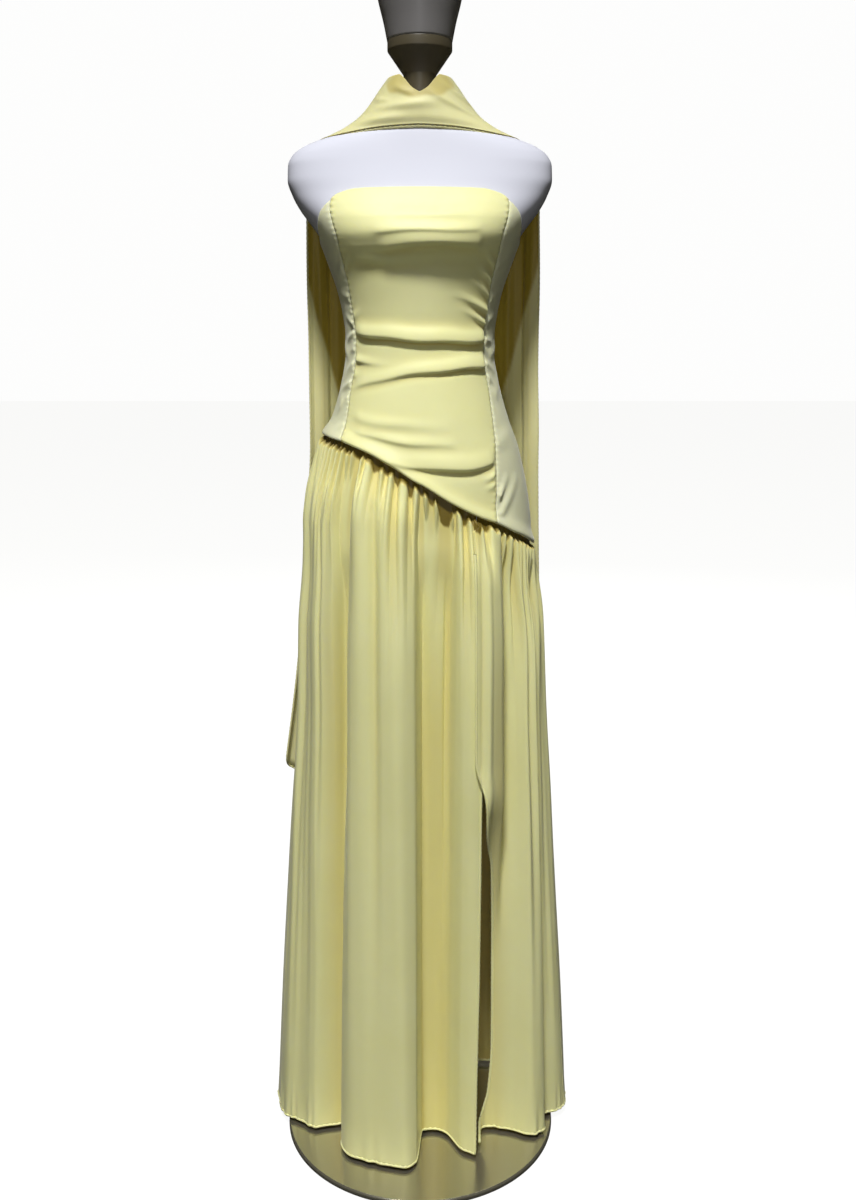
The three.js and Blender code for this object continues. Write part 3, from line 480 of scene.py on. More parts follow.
def crepe_group():
    """Satin crepe: fine crossing threads, a pebbled twist between them and a soft uneven tone, with
    painted shade in the folds: a warm painted fold shade, and a dark painted deep shade past it.
    """
    tree = bpy.data.node_groups.new("satin_crepe", "ShaderNodeTree")
    for name, kind, start in (
        ("Cloth", "NodeSocketColor", (0.84, 0.82, 0.38, 1)),
        ("Second Cloth", "NodeSocketColor", (0.78, 0.75, 0.30, 1)),
        ("Painted Fold Shade", "NodeSocketColor", (0.72, 0.62, 0.16, 1)),
        ("Deep Shade", "NodeSocketColor", (0.16, 0.11, 0.01, 1)),
        ("Threads", "NodeSocketFloat", 1500.0),
        ("Roughness", "NodeSocketFloat", 0.5),
    ):
        tree.interface.new_socket(name, in_out="INPUT", socket_type=kind).default_value = start
    for name, kind in (
        ("Colour", "NodeSocketColor"), ("Roughness", "NodeSocketFloat"),
        ("Height", "NodeSocketFloat"),
    ):
        tree.interface.new_socket(name, in_out="OUTPUT", socket_type=kind)
    given = tree.nodes.new("NodeGroupInput").outputs
    flat = place_node(tree, "ShaderNodeUVMap", uv_map="laid_out").outputs["UV"]
    solid = place_node(tree, "ShaderNodeTexCoord").outputs["Object"]
    # A point attribute holds the painted shade: 0 keeps the cloth's colour, 1 paints the warm fold
    # shade and 2 paints the deep shade.
    painted_shade = place_node(tree, "ShaderNodeAttribute", attribute_name="painted_shade").outputs["Fac"]

    def figure(operation, values, links, **settings):
        return place_node(
            tree, "ShaderNodeMath", values, links, operation=operation, **settings
        ).outputs[0]

    def threads(bands, distortion, detail_scale):
        return place_node(
            tree, "ShaderNodeTexWave",
            {"Scale": 0.314, "Distortion": distortion, "Detail Scale": detail_scale},
            {"Vector": scaled}, bands_direction=bands,
        ).outputs["Fac"]

    def clouds(scale, detail, roughness, vector):
        return place_node(
            tree, "ShaderNodeTexNoise",
            {"Scale": scale, "Detail": detail, "Roughness": roughness}, {"Vector": vector},
        ).outputs["Fac"]

    def blend(share, first, second):
        return place_node(
            tree, "ShaderNodeMix", (), {0: share, 6: first, 7: second}, data_type="RGBA"
        ).outputs[2]

    scaled = place_node(
        tree, "ShaderNodeVectorMath", (), {0: flat, 3: given["Threads"]}, operation="SCALE"
    ).outputs["Vector"]
    pebble = clouds(0.6, 3.0, 0.6, scaled)
    crossed = figure("MULTIPLY", (), {0: threads("X", 1.2, 0.7), 1: threads("Y", 1.6, 0.9)})
    shade = place_node(
        tree, "ShaderNodeMapRange", {"From Min": 0.35, "From Max": 0.7},
        {"Value": clouds(11.0, 4.0, 0.55, solid)},
    ).outputs["Result"]
    colour = blend(shade, given["Cloth"], given["Second Cloth"])
    past = figure("SUBTRACT", {1: 1.0}, {0: painted_shade}, use_clamp=True)
    rough = place_node(
        tree, "ShaderNodeMapRange", (),
        {"Value": pebble, "To Min": figure("SUBTRACT", {1: 0.05}, {0: given["Roughness"]}),
         "To Max": figure("ADD", {1: 0.07}, {0: given["Roughness"]})},
    )
    place_node(
        tree, "NodeGroupOutput", (),
        {"Colour": blend(past, blend(painted_shade, colour, given["Painted Fold Shade"]), given["Deep Shade"]),
         "Roughness": rough.outputs["Result"],
         "Height": figure("ADD", (), {0: crossed, 1: pebble})},
    )
    return tree


satin_crepe = crepe_group()
THREAD_SCALE, THREAD_RELIEF, THREAD_HEIGHT = 1500, 0.12, 0.0003


def cloth_material(name, colour, second, painted_fold_shade, deep, roughness, **values):
    """Crepe in a colour and its slightly uneven second one, with the painted fold shade and the
    painted deep shade it turns to in the folds.
    """
    material, tree, shader = new_material(
        name, Sheen_Roughness=0.4, Subsurface_Weight=0.15, Subsurface_Scale=1.0, **values
    )
    weave = place_node(tree, "ShaderNodeGroup", node_tree=satin_crepe)
    for socket, value in (
        ("Cloth", (*colour, 1)), ("Second Cloth", (*second, 1)), ("Painted Fold Shade", (*painted_fold_shade, 1)),
        ("Deep Shade", (*deep, 1)), ("Threads", THREAD_SCALE), ("Roughness", roughness),
    ):
        weave.inputs[socket].default_value = value
    relief = place_node(
        tree, "ShaderNodeBump", {"Strength": THREAD_RELIEF, "Distance": THREAD_HEIGHT},
        {"Height": weave.outputs["Height"]},
    )
    tree.links.new(weave.outputs["Colour"], shader.inputs["Base Color"])
    tree.links.new(weave.outputs["Roughness"], shader.inputs["Roughness"])
    tree.links.new(relief.outputs["Normal"], shader.inputs["Normal"])
    return material


# The third and fourth colours are painted shade: a warm painted fold shade and a dark painted deep
# shade, laid on where the cloth lies in folds and under edges.
gown_crepe = cloth_material(
    "gown_crepe", (0.86, 0.845, 0.43), (0.83, 0.81, 0.39), (0.70, 0.60, 0.20), (0.17, 0.12, 0.012),
    0.48, Specular_IOR_Level=0.35, Sheen_Weight=0.12, Subsurface_Radius=(0.003, 0.0025, 0.0008),
)

FRONT_COLUMNS = 112
DRAPE_TOP, DRAPE_LOW = 1312, 1026
even = np.linspace(-1, 1, FRONT_COLUMNS)
front_across = even * (1.35 - 0.35 * even * even)
front_rows = np.concatenate([
    np.linspace(0, 1, 23)[:-1], np.linspace(1, 2, 150)[:-1], np.linspace(2, 3, 58),
])[:, None]


def front_height(deg):
    top = mix(neckline(deg), DRAPE_TOP, np.clip(front_rows, 0, 1))
    middle = mix(DRAPE_TOP, DRAPE_LOW, np.clip(front_rows - 1, 0, 1))
    low = mix(DRAPE_LOW, waist_seam(deg) + EDGE_ROOM, np.clip(front_rows - 2, 0, 1))
    return np.where(front_rows < 1, top, np.where(front_rows < 2, middle, low))


deg, z = settled(lambda z: front_across[None, :] * (princess(z) - half_gap(z)), front_height)
folds, droop = drape(deg, z)
from_seam = (1 - np.abs(deg / princess(z))) * princess(z) * MM_A_DEGREE
front = bodice_points(deg, z, folds + seam_puckers(z, from_seam, 0.5), from_seam)
front[..., 2] -= droop
# Painted shade in the drape's folds, darker the deeper a place lies in its fold.
painted_shade = sunk_in_folds(front.transpose(1, 0, 2)[:, ::-1], 8, 2.6)[:, ::-1].T
bodice_front = cloth_piece(
    "bodice_front_drape", front, gown_crepe, "bodice_front", painted_shade
)

# The two plain side panels under the arms, cut to the figure and sewn to the centre front. Their
# crepe is painted paler and greyer than the front's, a painted sheen of the light glancing off
# the turned sides, with a duller finish. The pull of the drape leaves small pinched creases in
# them beside the seam.
# The side panels' crepe is painted paler and greyer as a painted sheen.
side_crepe_painted_sheen = cloth_material(
    "side_crepe_painted_sheen", (0.80, 0.80, 0.53), (0.76, 0.76, 0.49), (0.54, 0.44, 0.09), (0.17, 0.12, 0.012),
    0.55, Specular_IOR_Level=0.3, Sheen_Weight=0.2, Subsurface_Radius=(0.003, 0.0025, 0.0012),
)
SIDE_SEAM = 96
PLAIN_PUCKER = 0.45
CREASE_COLUMNS = "deg z deg_end z_end high wide".split()
LEFT_CREASES = [
    (-56, 1168, -68, 1180, 2.6, 4.5), (-57, 1160, -72, 1150, 2.4, 4), (-57, 1118, -68, 1108, 3, 5),
    (-56, 1092, -74, 1080, 3.2, 5), (-55, 1076, -68, 1052, 2.6, 5), (-54, 1140, -66, 1134, 1.6, 4),
    (-54, 1246, -70, 1228, 1.8, 6), (-57, 1206, -72, 1214, 1.4, 6), (-66, 1060, -84, 1090, 1.2, 7),
    (-72, 1130, -92, 1146, 1.4, 7), (-50, 1034, -66, 1026, 1.6, 5),
]
RIGHT_CREASES = [
    (57, 1172, 70, 1182, 2.2, 4.5), (57, 1150, 72, 1146, 2.4, 4.5), (58, 1118, 72, 1108, 2.2, 4.5),
    (57, 1100, 66, 1090, 2.4, 4.0), (43, 938, 52, 962, 2.6, 4.0), (41, 928, 47, 948, 2.4, 3.4),
    (44, 916, 62, 960, 2.2, 5.0), (53, 1246, 68, 1262, 1.4, 5.0), (57, 1204, 74, 1216, 1.6, 6.0),
    (66, 1076, 86, 1100, 1.2, 7.0), (70, 1130, 92, 1142, 1.4, 7.0), (52, 1010, 80, 1030, 1.0, 8.0),
]


def creases(deg, z, rows):
    """Soft ridges along short straight lines from one place to another."""
    out = np.zeros_like(z)
    for row in rows:
        crease = dict(zip(CREASE_COLUMNS, row))
        x = (deg - crease["deg"]) * MM_A_DEGREE
        run = (crease["deg_end"] - crease["deg"]) * MM_A_DEGREE
        y, rise = z - crease["z"], crease["z_end"] - crease["z"]
        along = np.clip((x * run + y * rise) / (run * run + rise * rise), 0, 1)
        away = np.hypot(x - along * run, y - along * rise)
        out += crease["high"] * (1 - 0.75 * along) * (
            bell(away / crease["wide"]) - 0.3 * bell((away - 1.9 * crease["wide"]) / crease["wide"])
        )
    return np.maximum(out, -1.8)


def plain_panel(name, node, deg, z, out, from_edge):
    points = bodice_points(deg, z, out, from_edge)
    piece = cloth_piece(name, points, side_crepe_painted_sheen, node, np.zeros(z.shape))


def side_panel(name, node, side, rows):
    down = np.linspace(0, 1, 200)[:, None]
    share = np.linspace(0, 1, 40) if side > 0 else np.linspace(1, 0, 40)
    share = mix(share, share * share * (3 - 2 * share), 0.4)[None, :]
    deg, z = settled(
        lambda z: side * mix(princess(z) + half_gap(z), SIDE_SEAM - half_gap(z), share),
        lambda deg: mix(neckline(deg), waist_seam(deg) + EDGE_ROOM, down),
    )
    from_seam = share * (SIDE_SEAM - princess(z)) * MM_A_DEGREE
    from_side = (1 - share) * (SIDE_SEAM - princess(z)) * MM_A_DEGREE
    out = creases(deg, z, rows) * smooth(0, 4, from_seam) * smooth(0, 8, from_side)
    out = out + seam_puckers(z, from_seam, PLAIN_PUCKER)
    plain_panel(name, node, deg, z, out, np.minimum(from_seam, from_side))


side_panel(
    "bodice_side_left_panel", "bodice_side_left", -1, LEFT_CREASES
)
side_panel(
    "bodice_side_right_panel", "bodice_side_right", 1, RIGHT_CREASES
)

# The two back panels, joined down the middle of the back. They lie plainer than the front, with a
# few soft creases that pull across the hollow of the waist.
BACK_CREASES = [
    (110, 1160, 172, 1142, 3.0, 8), (118, 1120, 176, 1128, 2.6, 7), (104, 1096, 150, 1084, 2.4, 7),
    (120, 1056, 174, 1040, 2.0, 9), (106, 1200, 140, 1220, 1.8, 9), (104, 1000, 150, 1012, 1.6, 9),
    (250, 1166, 190, 1150, 3.0, 8), (246, 1126, 186, 1118, 2.6, 7), (258, 1102, 214, 1088, 2.4, 7),
    (240, 1060, 190, 1050, 2.0, 9), (256, 1206, 220, 1226, 1.8, 9), (250, 1150, 214, 1178, 1.6, 6),
]


def back_panel(name, node, start, end):
    down = np.linspace(0, 1, 130)[:, None]
    share = np.linspace(0, 1, 60)[None, :]
    deg, z = settled(
        lambda z: mix(start + half_gap(z), end - half_gap(z), share),
        lambda deg: mix(neckline(deg), waist_seam(deg) + EDGE_ROOM, down),
    )
    from_seam = np.minimum(share, 1 - share) * (end - start) * MM_A_DEGREE
    out = creases(deg, z, BACK_CREASES) * smooth(0, 6, from_seam)
    out = out + seam_puckers(z, from_seam, PLAIN_PUCKER)
    plain_panel(name, node, deg, z, out, from_seam)


back_panel(
    "bodice_back_right_panel", "bodice_back_right", SIDE_SEAM, 180
)
back_panel(
    "bodice_back_left_panel", "bodice_back_left", 180, 360 - SIDE_SEAM
)

# The skirt: three widths of the same crepe, gathered by two rows of stitches into the slanting
# seam and hanging in deep flutes. The front widths part at the slit.
SKIRT_CLEARANCE = 2
SKIRT_TUCK = 7
SKIRT_SIDE_SEAM, SIDE_SEAM_ROOM = 90, 0.35
HEM_HEIGHT = 15
FORM_LETS_GO, FORM_HOLDS = 750, 890
SKIRT_DRIFT, DRIFT_STEADY = 14, 7.2
SLIT_ANGLE = 22
PUFF, HOLLOW_SINKS, GATHER_RISE = 8.5, 1.2, 10
FLUTE_LEAN, LIFT_BESIDE_SLIT, FLUTE_GROWTH = 5, 40, 0.62
ROOM_ON_FORM, ROOM_BELOW_FORM = 1.2, 42
# How strongly shade is painted under the bodice's edge, down the hollows, in the flutes' valleys
# and on the skirt's inner side.
EDGE_SHADE, HOLLOW_SHADE, VALLEY_SHADE, INSIDE_SHADE = 2.5, 0.36, 0.6, 1

SKIRT_ROWS = [
    (15, 208, 88, 156, 2), (178, 201, 90, 152, 2), (331, 193, 93, 148, 2), (482, 185, 98, 142, 2),
    (635, 173, 103, 137, 2.05), (744, 167, 106, 133, 2.1), (837, 160, 107, 127, 2.15),
]
FLUTE_ROWS = [
    (-90, 0), (-73, -4), (-61, -11), (-50, -8), (-40, -27), (-33.9, -40), (-31.4, 14), (-24, 35),
    (-14, 43), (-6, 49), (-1.4, 38), (1, -40), (6, -43), (10.5, -29), (15.5, 11), (20.5, 26),
    (22, 27), (26.5, -19), (31, -27), (41, -11), (50, 11), (57.5, 8), (61, -29), (74, -14),
    (88, 3), (104, 15), (117, -20), (130, 21), (152, -26), (168, 6), (181, 19),
    (193, -25), (206, 22), (218, -19), (231, 23), (244, -21), (257, 12),
]
UPPER_FOLD_ROWS = [
    (-90, 0), (-78, 5), (-68, -3), (-59, 6), (-50, 8), (-47.5, 3), (-44.5, 8), (-38.5, 9),
    (-36.5, 4), (-34.8, -9), (-31.6, -5), (-28.6, -9), (-26.6, 7), (-22, 10), (-18, 7), (-15, 1),
    (-12.4, 8), (-8.5, 11), (-4, 6), (-1.8, 3), (-0.2, -10), (1.6, -7), (4, 1), (6.2, 3),
    (8.6, 0), (9.8, -10), (11.4, -10), (13, 7), (17, 11), (20.5, 6), (22, 4), (25, 9), (30, 9),
    (33, 3), (36, -8), (39.5, -11), (44, -5), (48.5, 4), (53, -7), (59, 4), (66, -4), (73, 4),
    (81, -2), (90, 3), (103, -5), (116, 6), (129, -5), (140, 7), (152, -6), (165, 8), (177, -6),
    (189, 7), (200, -6), (212, 8), (225, -5), (238, 6), (251, -5),
]
# The two edges at the slit on the way down: how far the left one has drifted round, and how far
# round and how far out of the skirt's own face the right one is.
SLIT_ROWS = [
    (0, 0, 0.4, 0), (0.008, 0, 0.4, 0), (0.018, 0, 0.3, 3), (0.035, 0, -2.8, 5.2),
    (0.38, 0, -2.4, 5), (0.43, -0.1, 0.9, 7.4), (0.5, -0.3, 3.2, -2), (0.56, -0.4, 7.2, -6),
    (0.7, -0.6, 9.8, -10), (0.86, -1.15, 10, -10), (0.94, -1.35, 8.6, -9), (0.97, -1.45, 6, -8),
    (1, -1.6, 1.8, -7),
]
SLIT_FREE_TO = 38
# The gathers' hollows along the seam: the angle there, the half width in degrees, how far down
# the bare notch under the bodice's edge reaches and how far down the fold below it runs.
GATHER_ROWS = [
    (-86, 1.0, 6, 70), (-81, 1.0, 5, 110), (-75.5, 1.0, 7, 60), (-70.5, 1.1, 6, 120),
    (-65.5, 1.0, 5, 60), (-60.5, 1.0, 8, 100), (-56.5, 0.9, 5, 130), (-52, 1.0, 6, 80),
    (-47.8, 1.1, 6, 120), (-43.3, 0.9, 5, 90), (-39.2, 0.8, 4, 60), (-34.1, 2.0, 5, 260),
    (-28.8, 0.8, 3, 50), (-21.2, 1.9, 11, 70), (-15.4, 1.1, 6, 60), (-10, 1.2, 12, 260),
    (-3.3, 0.9, 16, 150), (0.6, 0.6, 4, 190), (4.5, 1.2, 10, 60), (10.4, 2.5, 26, 240),
    (15.2, 0.6, 3, 90), (20.1, 1.1, 11, 240), (25.6, 1.4, 15, 60), (31.1, 1.4, 8, 50),
    (42.3, 1.1, 7, 220), (46.3, 0.9, 5, 120), (51.9, 1.0, 5, 200), (56, 0.9, 4, 90),
    (59.4, 0.8, 5, 160), (63.9, 0.9, 4, 110), (69, 1.0, 6, 90), (74.5, 1.0, 5, 120),
    (80.5, 1.0, 6, 90), (86, 1.0, 5, 110),
]
back_turns = np.arange(44)
BACK_GATHERS = np.stack([
    92 + back_turns * 4.05 + 0.9 * np.sin(back_turns * 2.3), 1.05 + 0.3 * np.sin(back_turns * 3.1),
    7 + 4 * np.sin(back_turns * 1.7), 130 + 70 * np.sin(back_turns * 2.7),
], -1).tolist()

free_skirt_section = sections(SKIRT_ROWS)
flute = round_curve(FLUTE_ROWS)
upper_fold = round_curve(UPPER_FOLD_ROWS)
slit_down, *slit_columns = zip(*SLIT_ROWS)
slit_drift, slit_turn, slit_out = [smooth_curve(slit_down, column) for column in slit_columns]


def skirt_section(z):
    lift = SKIRT_CLEARANCE + CLOTH_WALL
    share = smooth(FORM_LETS_GO, FORM_HOLDS, z)
    free, form = free_skirt_section(z), form_section(np.maximum(z, FORM_HOLDS))
    sizes = [mix(a, b + lift, share) for a, b in zip(free[:3], form[:3])]
    return [*sizes, mix(free[3], form[3], share)]


def gathers(at, below, fade):
    """How far the gathered cloth stands out near the seam, as full tubes with hollows between, and
    how deep the painted shadow under the bodice's edge and the painted shade in the hollows are."""
    lower = np.maximum(below, 0)
    hollow, notch = np.zeros((2, *np.broadcast_shapes(np.shape(at), np.shape(below))))
    for place, wide, deep, run in [*GATHER_ROWS, *BACK_GATHERS]:
        turn = np.mod(at - place + 180, 360) - 180
        near = np.minimum(1, 1.5 * bell(turn / (wide * (1 + lower / 150))))
        hollow = np.maximum(hollow, near * bell(lower / run))
        notch = np.maximum(notch, near * deep)
    hollow, notch = hollow * fade, notch * fade
    uneven = 1.6 * np.sin(at * 0.71) + 1.2 * np.sin(at * 1.37 + 1)
    start = 2.5 + uneven + notch
    under_edge = 1 - smooth(start + 2, start + 2 + GATHER_RISE, below)
    shade = np.maximum(under_edge, HOLLOW_SHADE * hollow * bell(below / 150))
    puff = PUFF * smooth(start, start + GATHER_RISE, below) * (1 - hollow)
    return puff - HOLLOW_SINKS * hollow, shade


def skirt_place(deg, down):
    """A place's angle round the figure, its height and how far below the slanting seam it lies."""
    drift = SKIRT_DRIFT * np.maximum(0, 1 - down) ** 1.3
    drift = DRIFT_STEADY * np.tanh(drift / DRIFT_STEADY)
    at = deg + drift * np.sin(np.radians(2 * deg))
    seam = waist_seam(at)
    z = mix(seam + SKIRT_TUCK, HEM_HEIGHT, down)
    return at, z, seam - z


def skirt_points(deg, down, extra=0):
    at, z, below = skirt_place(deg, down)
    lean = FLUTE_LEAN * np.maximum(0, 1 - down) ** 1.2
    lean = lean * smooth(-2, -20, deg) * smooth(-80, -55, deg)
    beside = smooth(21.5, 26, deg) * smooth(37, 32, deg) * smooth(0.72, 0.4, down)
    deep = flute(deg - lean) + LIFT_BESIDE_SLIT * beside
    deep = deep * smooth(-2, 60, below) * np.maximum(0, down) ** FLUTE_GROWTH
    upper = upper_fold(deg) * smooth(8, 90, below) * smooth(0.85, 0.2, down)
    beside_slit = smooth(0.5, 3, np.abs(deg - SLIT_ANGLE + 0.5))
    gather, _ = gathers(at, below, beside_slit)
    soft = np.sin(deg * 0.47 + 0.9 * np.sin(deg * 0.17)) + 0.5 * np.sin(deg * 0.93 + 1)
    ripple = 0.6 * soft * smooth(20, 160, below) * smooth(1, 0.7, down)
    edge_wave = 0.9 * np.sin(deg * 0.9 + 1.4 * np.sin(deg * 0.37)) * bell((1 - down) * 30)
    out = deep + upper + gather * smooth(0.55, 0.06, down) + ripple + edge_wave
    room = ROOM_ON_FORM + ROOM_BELOW_FORM * smooth(872, 690, z)
    out = np.where(out < 0, -room * np.tanh(-out / room), out)
    return on_section(skirt_section(z), at, z, out + extra)


def right_skirt_points(deg, down):
    lap = slit_out(down) * smooth(SLIT_FREE_TO, SLIT_ANGLE + 3, deg)
    return skirt_points(deg, down, lap)


FINE_STEPS = 3000


def columns_along(point_at, count, levels):
    """Column shares spaced evenly along the cloth itself, so that they crowd on a steep fold."""
    fine = np.linspace(0, 1, FINE_STEPS + 1)
    length = np.zeros(FINE_STEPS)
    for level in levels:
        steps = np.diff(point_at(fine[None, :], np.full((1, 1), level))[0], axis=0)
        length += np.linalg.norm(steps, axis=-1)
    total = np.concatenate([[0], np.cumsum(length)])
    return np.interp(np.linspace(0, total[-1], count), total, fine)


skirt_down = np.concatenate([
    np.linspace(0, 0.07, 40)[:-1], np.linspace(0.07, 0.4, 46)[:-1],
    np.linspace(0.4, 0.96, 42)[:-1], np.linspace(0.96, 1, 14),
])[:, None]


def skirt_panel(name, node, start, end, points_at, count):
    def point_at(share, down):
        return points_at(mix(start(down), end(down), share), down)

    columns = columns_along(point_at, count, [0.03, 0.06, 0.2, 1])[None, :]
    points = point_at(columns, skirt_down)
    turn = mix(start(skirt_down), end(skirt_down), columns)
    at, _, below = skirt_place(turn, skirt_down)
    _, shade = gathers(at, below, 1)
    # Painted shade: darker in folds and flutes' valleys, darkest in the painted shadow under the
    # bodice's edge; the inner side is painted in shade too.
    painted_shade = np.maximum(sunk_in_folds(points, 9, 6.0), sunk_in_folds(points, 28, 14.0))
    valley = smooth(-8, -36, flute(turn)) * smooth(0.08, 0.4, skirt_down)
    painted_shade = np.maximum(painted_shade, VALLEY_SHADE * valley)
    painted_shade = np.maximum(painted_shade, np.minimum(2, EDGE_SHADE * shade))
    piece = cloth_piece(
        name, points, gown_crepe, node, painted_shade, inside=INSIDE_SHADE
    )
    return piece, points


def straight(deg):
    return lambda down: deg + 0 * down


left_skirt, left_points = skirt_panel(
    "skirt_front_left_width", "skirt_front_left", straight(-SKIRT_SIDE_SEAM + SIDE_SEAM_ROOM),
    lambda down: SLIT_ANGLE + slit_drift(down), skirt_points, 300,
)
right_skirt, right_points = skirt_panel(
    "skirt_front_right_width", "skirt_front_right", lambda down: SLIT_ANGLE + slit_turn(down),
    straight(SKIRT_SIDE_SEAM - SIDE_SEAM_ROOM), right_skirt_points, 190,
)
back_skirt, back_points = skirt_panel(
    "skirt_back_width", "skirt_back", straight(SKIRT_SIDE_SEAM + SIDE_SEAM_ROOM),
    straight(360 - SKIRT_SIDE_SEAM - SIDE_SEAM_ROOM), skirt_points, 300,
)

# The skirt's rolled hem: along the lower edge and both edges of the slit the crepe is rolled over
# itself and overcast, which leaves a thin, slightly puckered cord of cloth.
HEM_RADIUS = 1.9
HEM_PUCKER, HEM_WANDER, HEM_PINCH = 7.0, 0.3, 0.14
HEM_STEP, HEM_SIDES = 1.8, 8
SLIT_HEM_FROM = 36


def rolled_hem(name, path, material, node, radius=HEM_RADIUS):
    """A cord of rolled cloth along a line of points, pinched by its stitches."""
    path = np.asarray(path, float)
    run = np.concatenate([[0], np.cumsum(np.linalg.norm(np.diff(path, axis=0), axis=-1))])
    even_run = np.linspace(0, run[-1], int(run[-1] / HEM_STEP) + 2)
    line = np.stack([np.interp(even_run, run, path[:, i]) for i in range(3)], -1)
    ahead = np.gradient(line, axis=0)
    ahead /= np.linalg.norm(ahead, axis=-1, keepdims=True)
    aside = np.cross(ahead, np.where(np.abs(ahead[:, 2:]) < 0.8, [[0, 0, 1]], [[0, 1, 0]]))
    aside /= np.linalg.norm(aside, axis=-1, keepdims=True)
    up = np.cross(aside, ahead)
    pinch = np.sin(2 * np.pi * even_run / HEM_PUCKER + 2 * np.sin(even_run / 23))
    line = line + HEM_WANDER * pinch[:, None] * up
    thick = radius * (1 + HEM_PINCH * pinch)[:, None, None]
    turn = np.linspace(0, 2 * np.pi, HEM_SIDES, endpoint=False)[None, :, None]
    rings = line[:, None] + thick * (np.cos(turn) * aside[:, None] + np.sin(turn) * up[:, None])
    count = len(line) * HEM_SIDES
    faces = grid_faces(len(line), HEM_SIDES, 0, True)[:, ::-1].tolist()
    faces += [list(range(HEM_SIDES)), list(range(count - 1, count - HEM_SIDES - 1, -1))]
    points = rings.reshape(-1, 3)
    laid = np.stack([np.repeat(even_run, HEM_SIDES), np.tile(turn.ravel(), len(line))], -1) * 0.001
    return make_piece(name, points, faces, material, node, None, laid)


def middle_of(points):
    """The middle of the cloth's wall at each point of its grid."""
    return points - CLOTH_WALL / 2 * outward(points)


left_middle, right_middle, back_middle = map(middle_of, (left_points, right_points, back_points))
left_hem = rolled_hem(
    "skirt_left_hem", np.vstack([left_middle[-1], left_middle[:SLIT_HEM_FROM:-1, -1]]), gown_crepe,
    "skirt_front_left",
)
right_hem = rolled_hem(
    "skirt_right_hem", np.vstack([right_middle[SLIT_HEM_FROM:, 0], right_middle[-1]]), gown_crepe,
    "skirt_front_right",
)
back_hem = rolled_hem("skirt_back_hem", back_middle[-1], gown_crepe, "skirt_back")

# The scarf: one long strip of the same crepe, narrow-hemmed, but painted darker than the gown as
# painted shade. This is the stretch wound round the neck, which dips to a V at the front and
# falls over the shoulders at the back. Its lower edge is rolled under, the cap's shadow is painted
# on its top, and its inner side is painted deep in shade.
SCARF_ROWS = [
    (445, 236, 90, 186, 2.2), (610, 216, 90, 172, 2.2), (750, 201, 90, 160, 2.25),
    (890, 192, 90, 146, 2.3), (990, 188, 90, 132, 2.4), (1140, 188, 90, 118, 2.5),
    (1290, 190, 90, 108, 2.5), (1370, 190.5, 82, 101, 2.5), (1390, 190, 78, 96, 2.5),
    (1403, 184.5, 74, 91, 2.45), (1415, 171, 70, 86, 2.4), (1427, 139, 66, 81, 2.35),
    (1439, 109, 63, 75, 2.25), (1452, 90, 60, 70, 2.1), (1466, 76, 57.5, 65, 2),
    (1481, 65, 54.5, 61, 2), (1495, 55.5, 51, 57, 2), (1509, 45, 47, 52, 2),
]
SCARF_TOP_ROWS = [(0, 1481), (9, 1487), (24, 1501), (38, 1508), (90, 1508), (180, 1498)]
SCARF_LOW_ROWS = [
    (0, 1438), (25, 1435), (60, 1427), (92, 1424), (115, 1416), (145, 1403), (180, 1393),
]
NECK_CREASES = [
    (-62, 1460, 24, 1468, 3.4, 7), (-78, 1445, -8, 1448, 2.6, 6), (76, 1442, 4, 1487, 3.2, 7),
    (84, 1464, 30, 1496, 2.4, 6), (-40, 1492, -4, 1478, 2.0, 5), (-66, 1478, -30, 1470, 1.8, 4),
    (130, 1480, 220, 1470, 2.2, 7), (110, 1450, 190, 1436, 2.0, 7), (250, 1462, 170, 1452, 2.0, 6),
]

scarf_section = sections(SCARF_ROWS)
scarf_top = mirrored_curve(SCARF_TOP_ROWS)
scarf_low = mirrored_curve(SCARF_LOW_ROWS)
# The scarf's crepe is the gown's, painted darker as painted shade, with its own painted fold shade
# and painted deep shade.
scarf_crepe_painted_shade = cloth_material(
    "scarf_crepe_painted_shade", (0.72, 0.69, 0.36), (0.68, 0.65, 0.33), (0.42, 0.32, 0.04), (0.16, 0.11, 0.01),
    0.5, Specular_IOR_Level=0.33, Sheen_Weight=0.12, Subsurface_Radius=(0.003, 0.0025, 0.0008),
)
# How dark the painted shadow of the cap is, and how deep the painted shade on the wrap's inner
# side.
CAP_SHADE, NECK_INSIDE_PAINTED_SHADE = 0.55, 1.6
DRAWN_IN = 4.5
ROLL_RADIUS, ROLL_BELOW, ROLL_INSIDE = 2.4, 2.4, 3.4


def neck_folds(deg, z):
    out = np.zeros_like(z)
    for row in NECK_CREASES:
        crease = dict(zip(CREASE_COLUMNS, row))
        along = np.clip((deg - crease["deg"]) / (crease["deg_end"] - crease["deg"]), 0, 1)
        crest = mix(crease["z"], crease["z_end"], along)
        out += crease["high"] * np.sin(np.pi * along) * bell((z - crest) / crease["wide"])
    return out


deg = (np.arange(240) * 1.5 - 180)[None, :]
down = np.linspace(0, 1, 60)[:, None]
z = mix(scarf_top(deg), scarf_low(deg) + EDGE_ROOM, down)
around = np.mod(deg, 360)
folds = np.where(np.abs(deg) < 90, neck_folds(deg + 0 * z, z), neck_folds(around + 0 * z, z))
drawn_in = DRAWN_IN * bell((z - scarf_low(deg)) / 8)
neck = on_section(scarf_section(z), deg, z, folds - drawn_in)
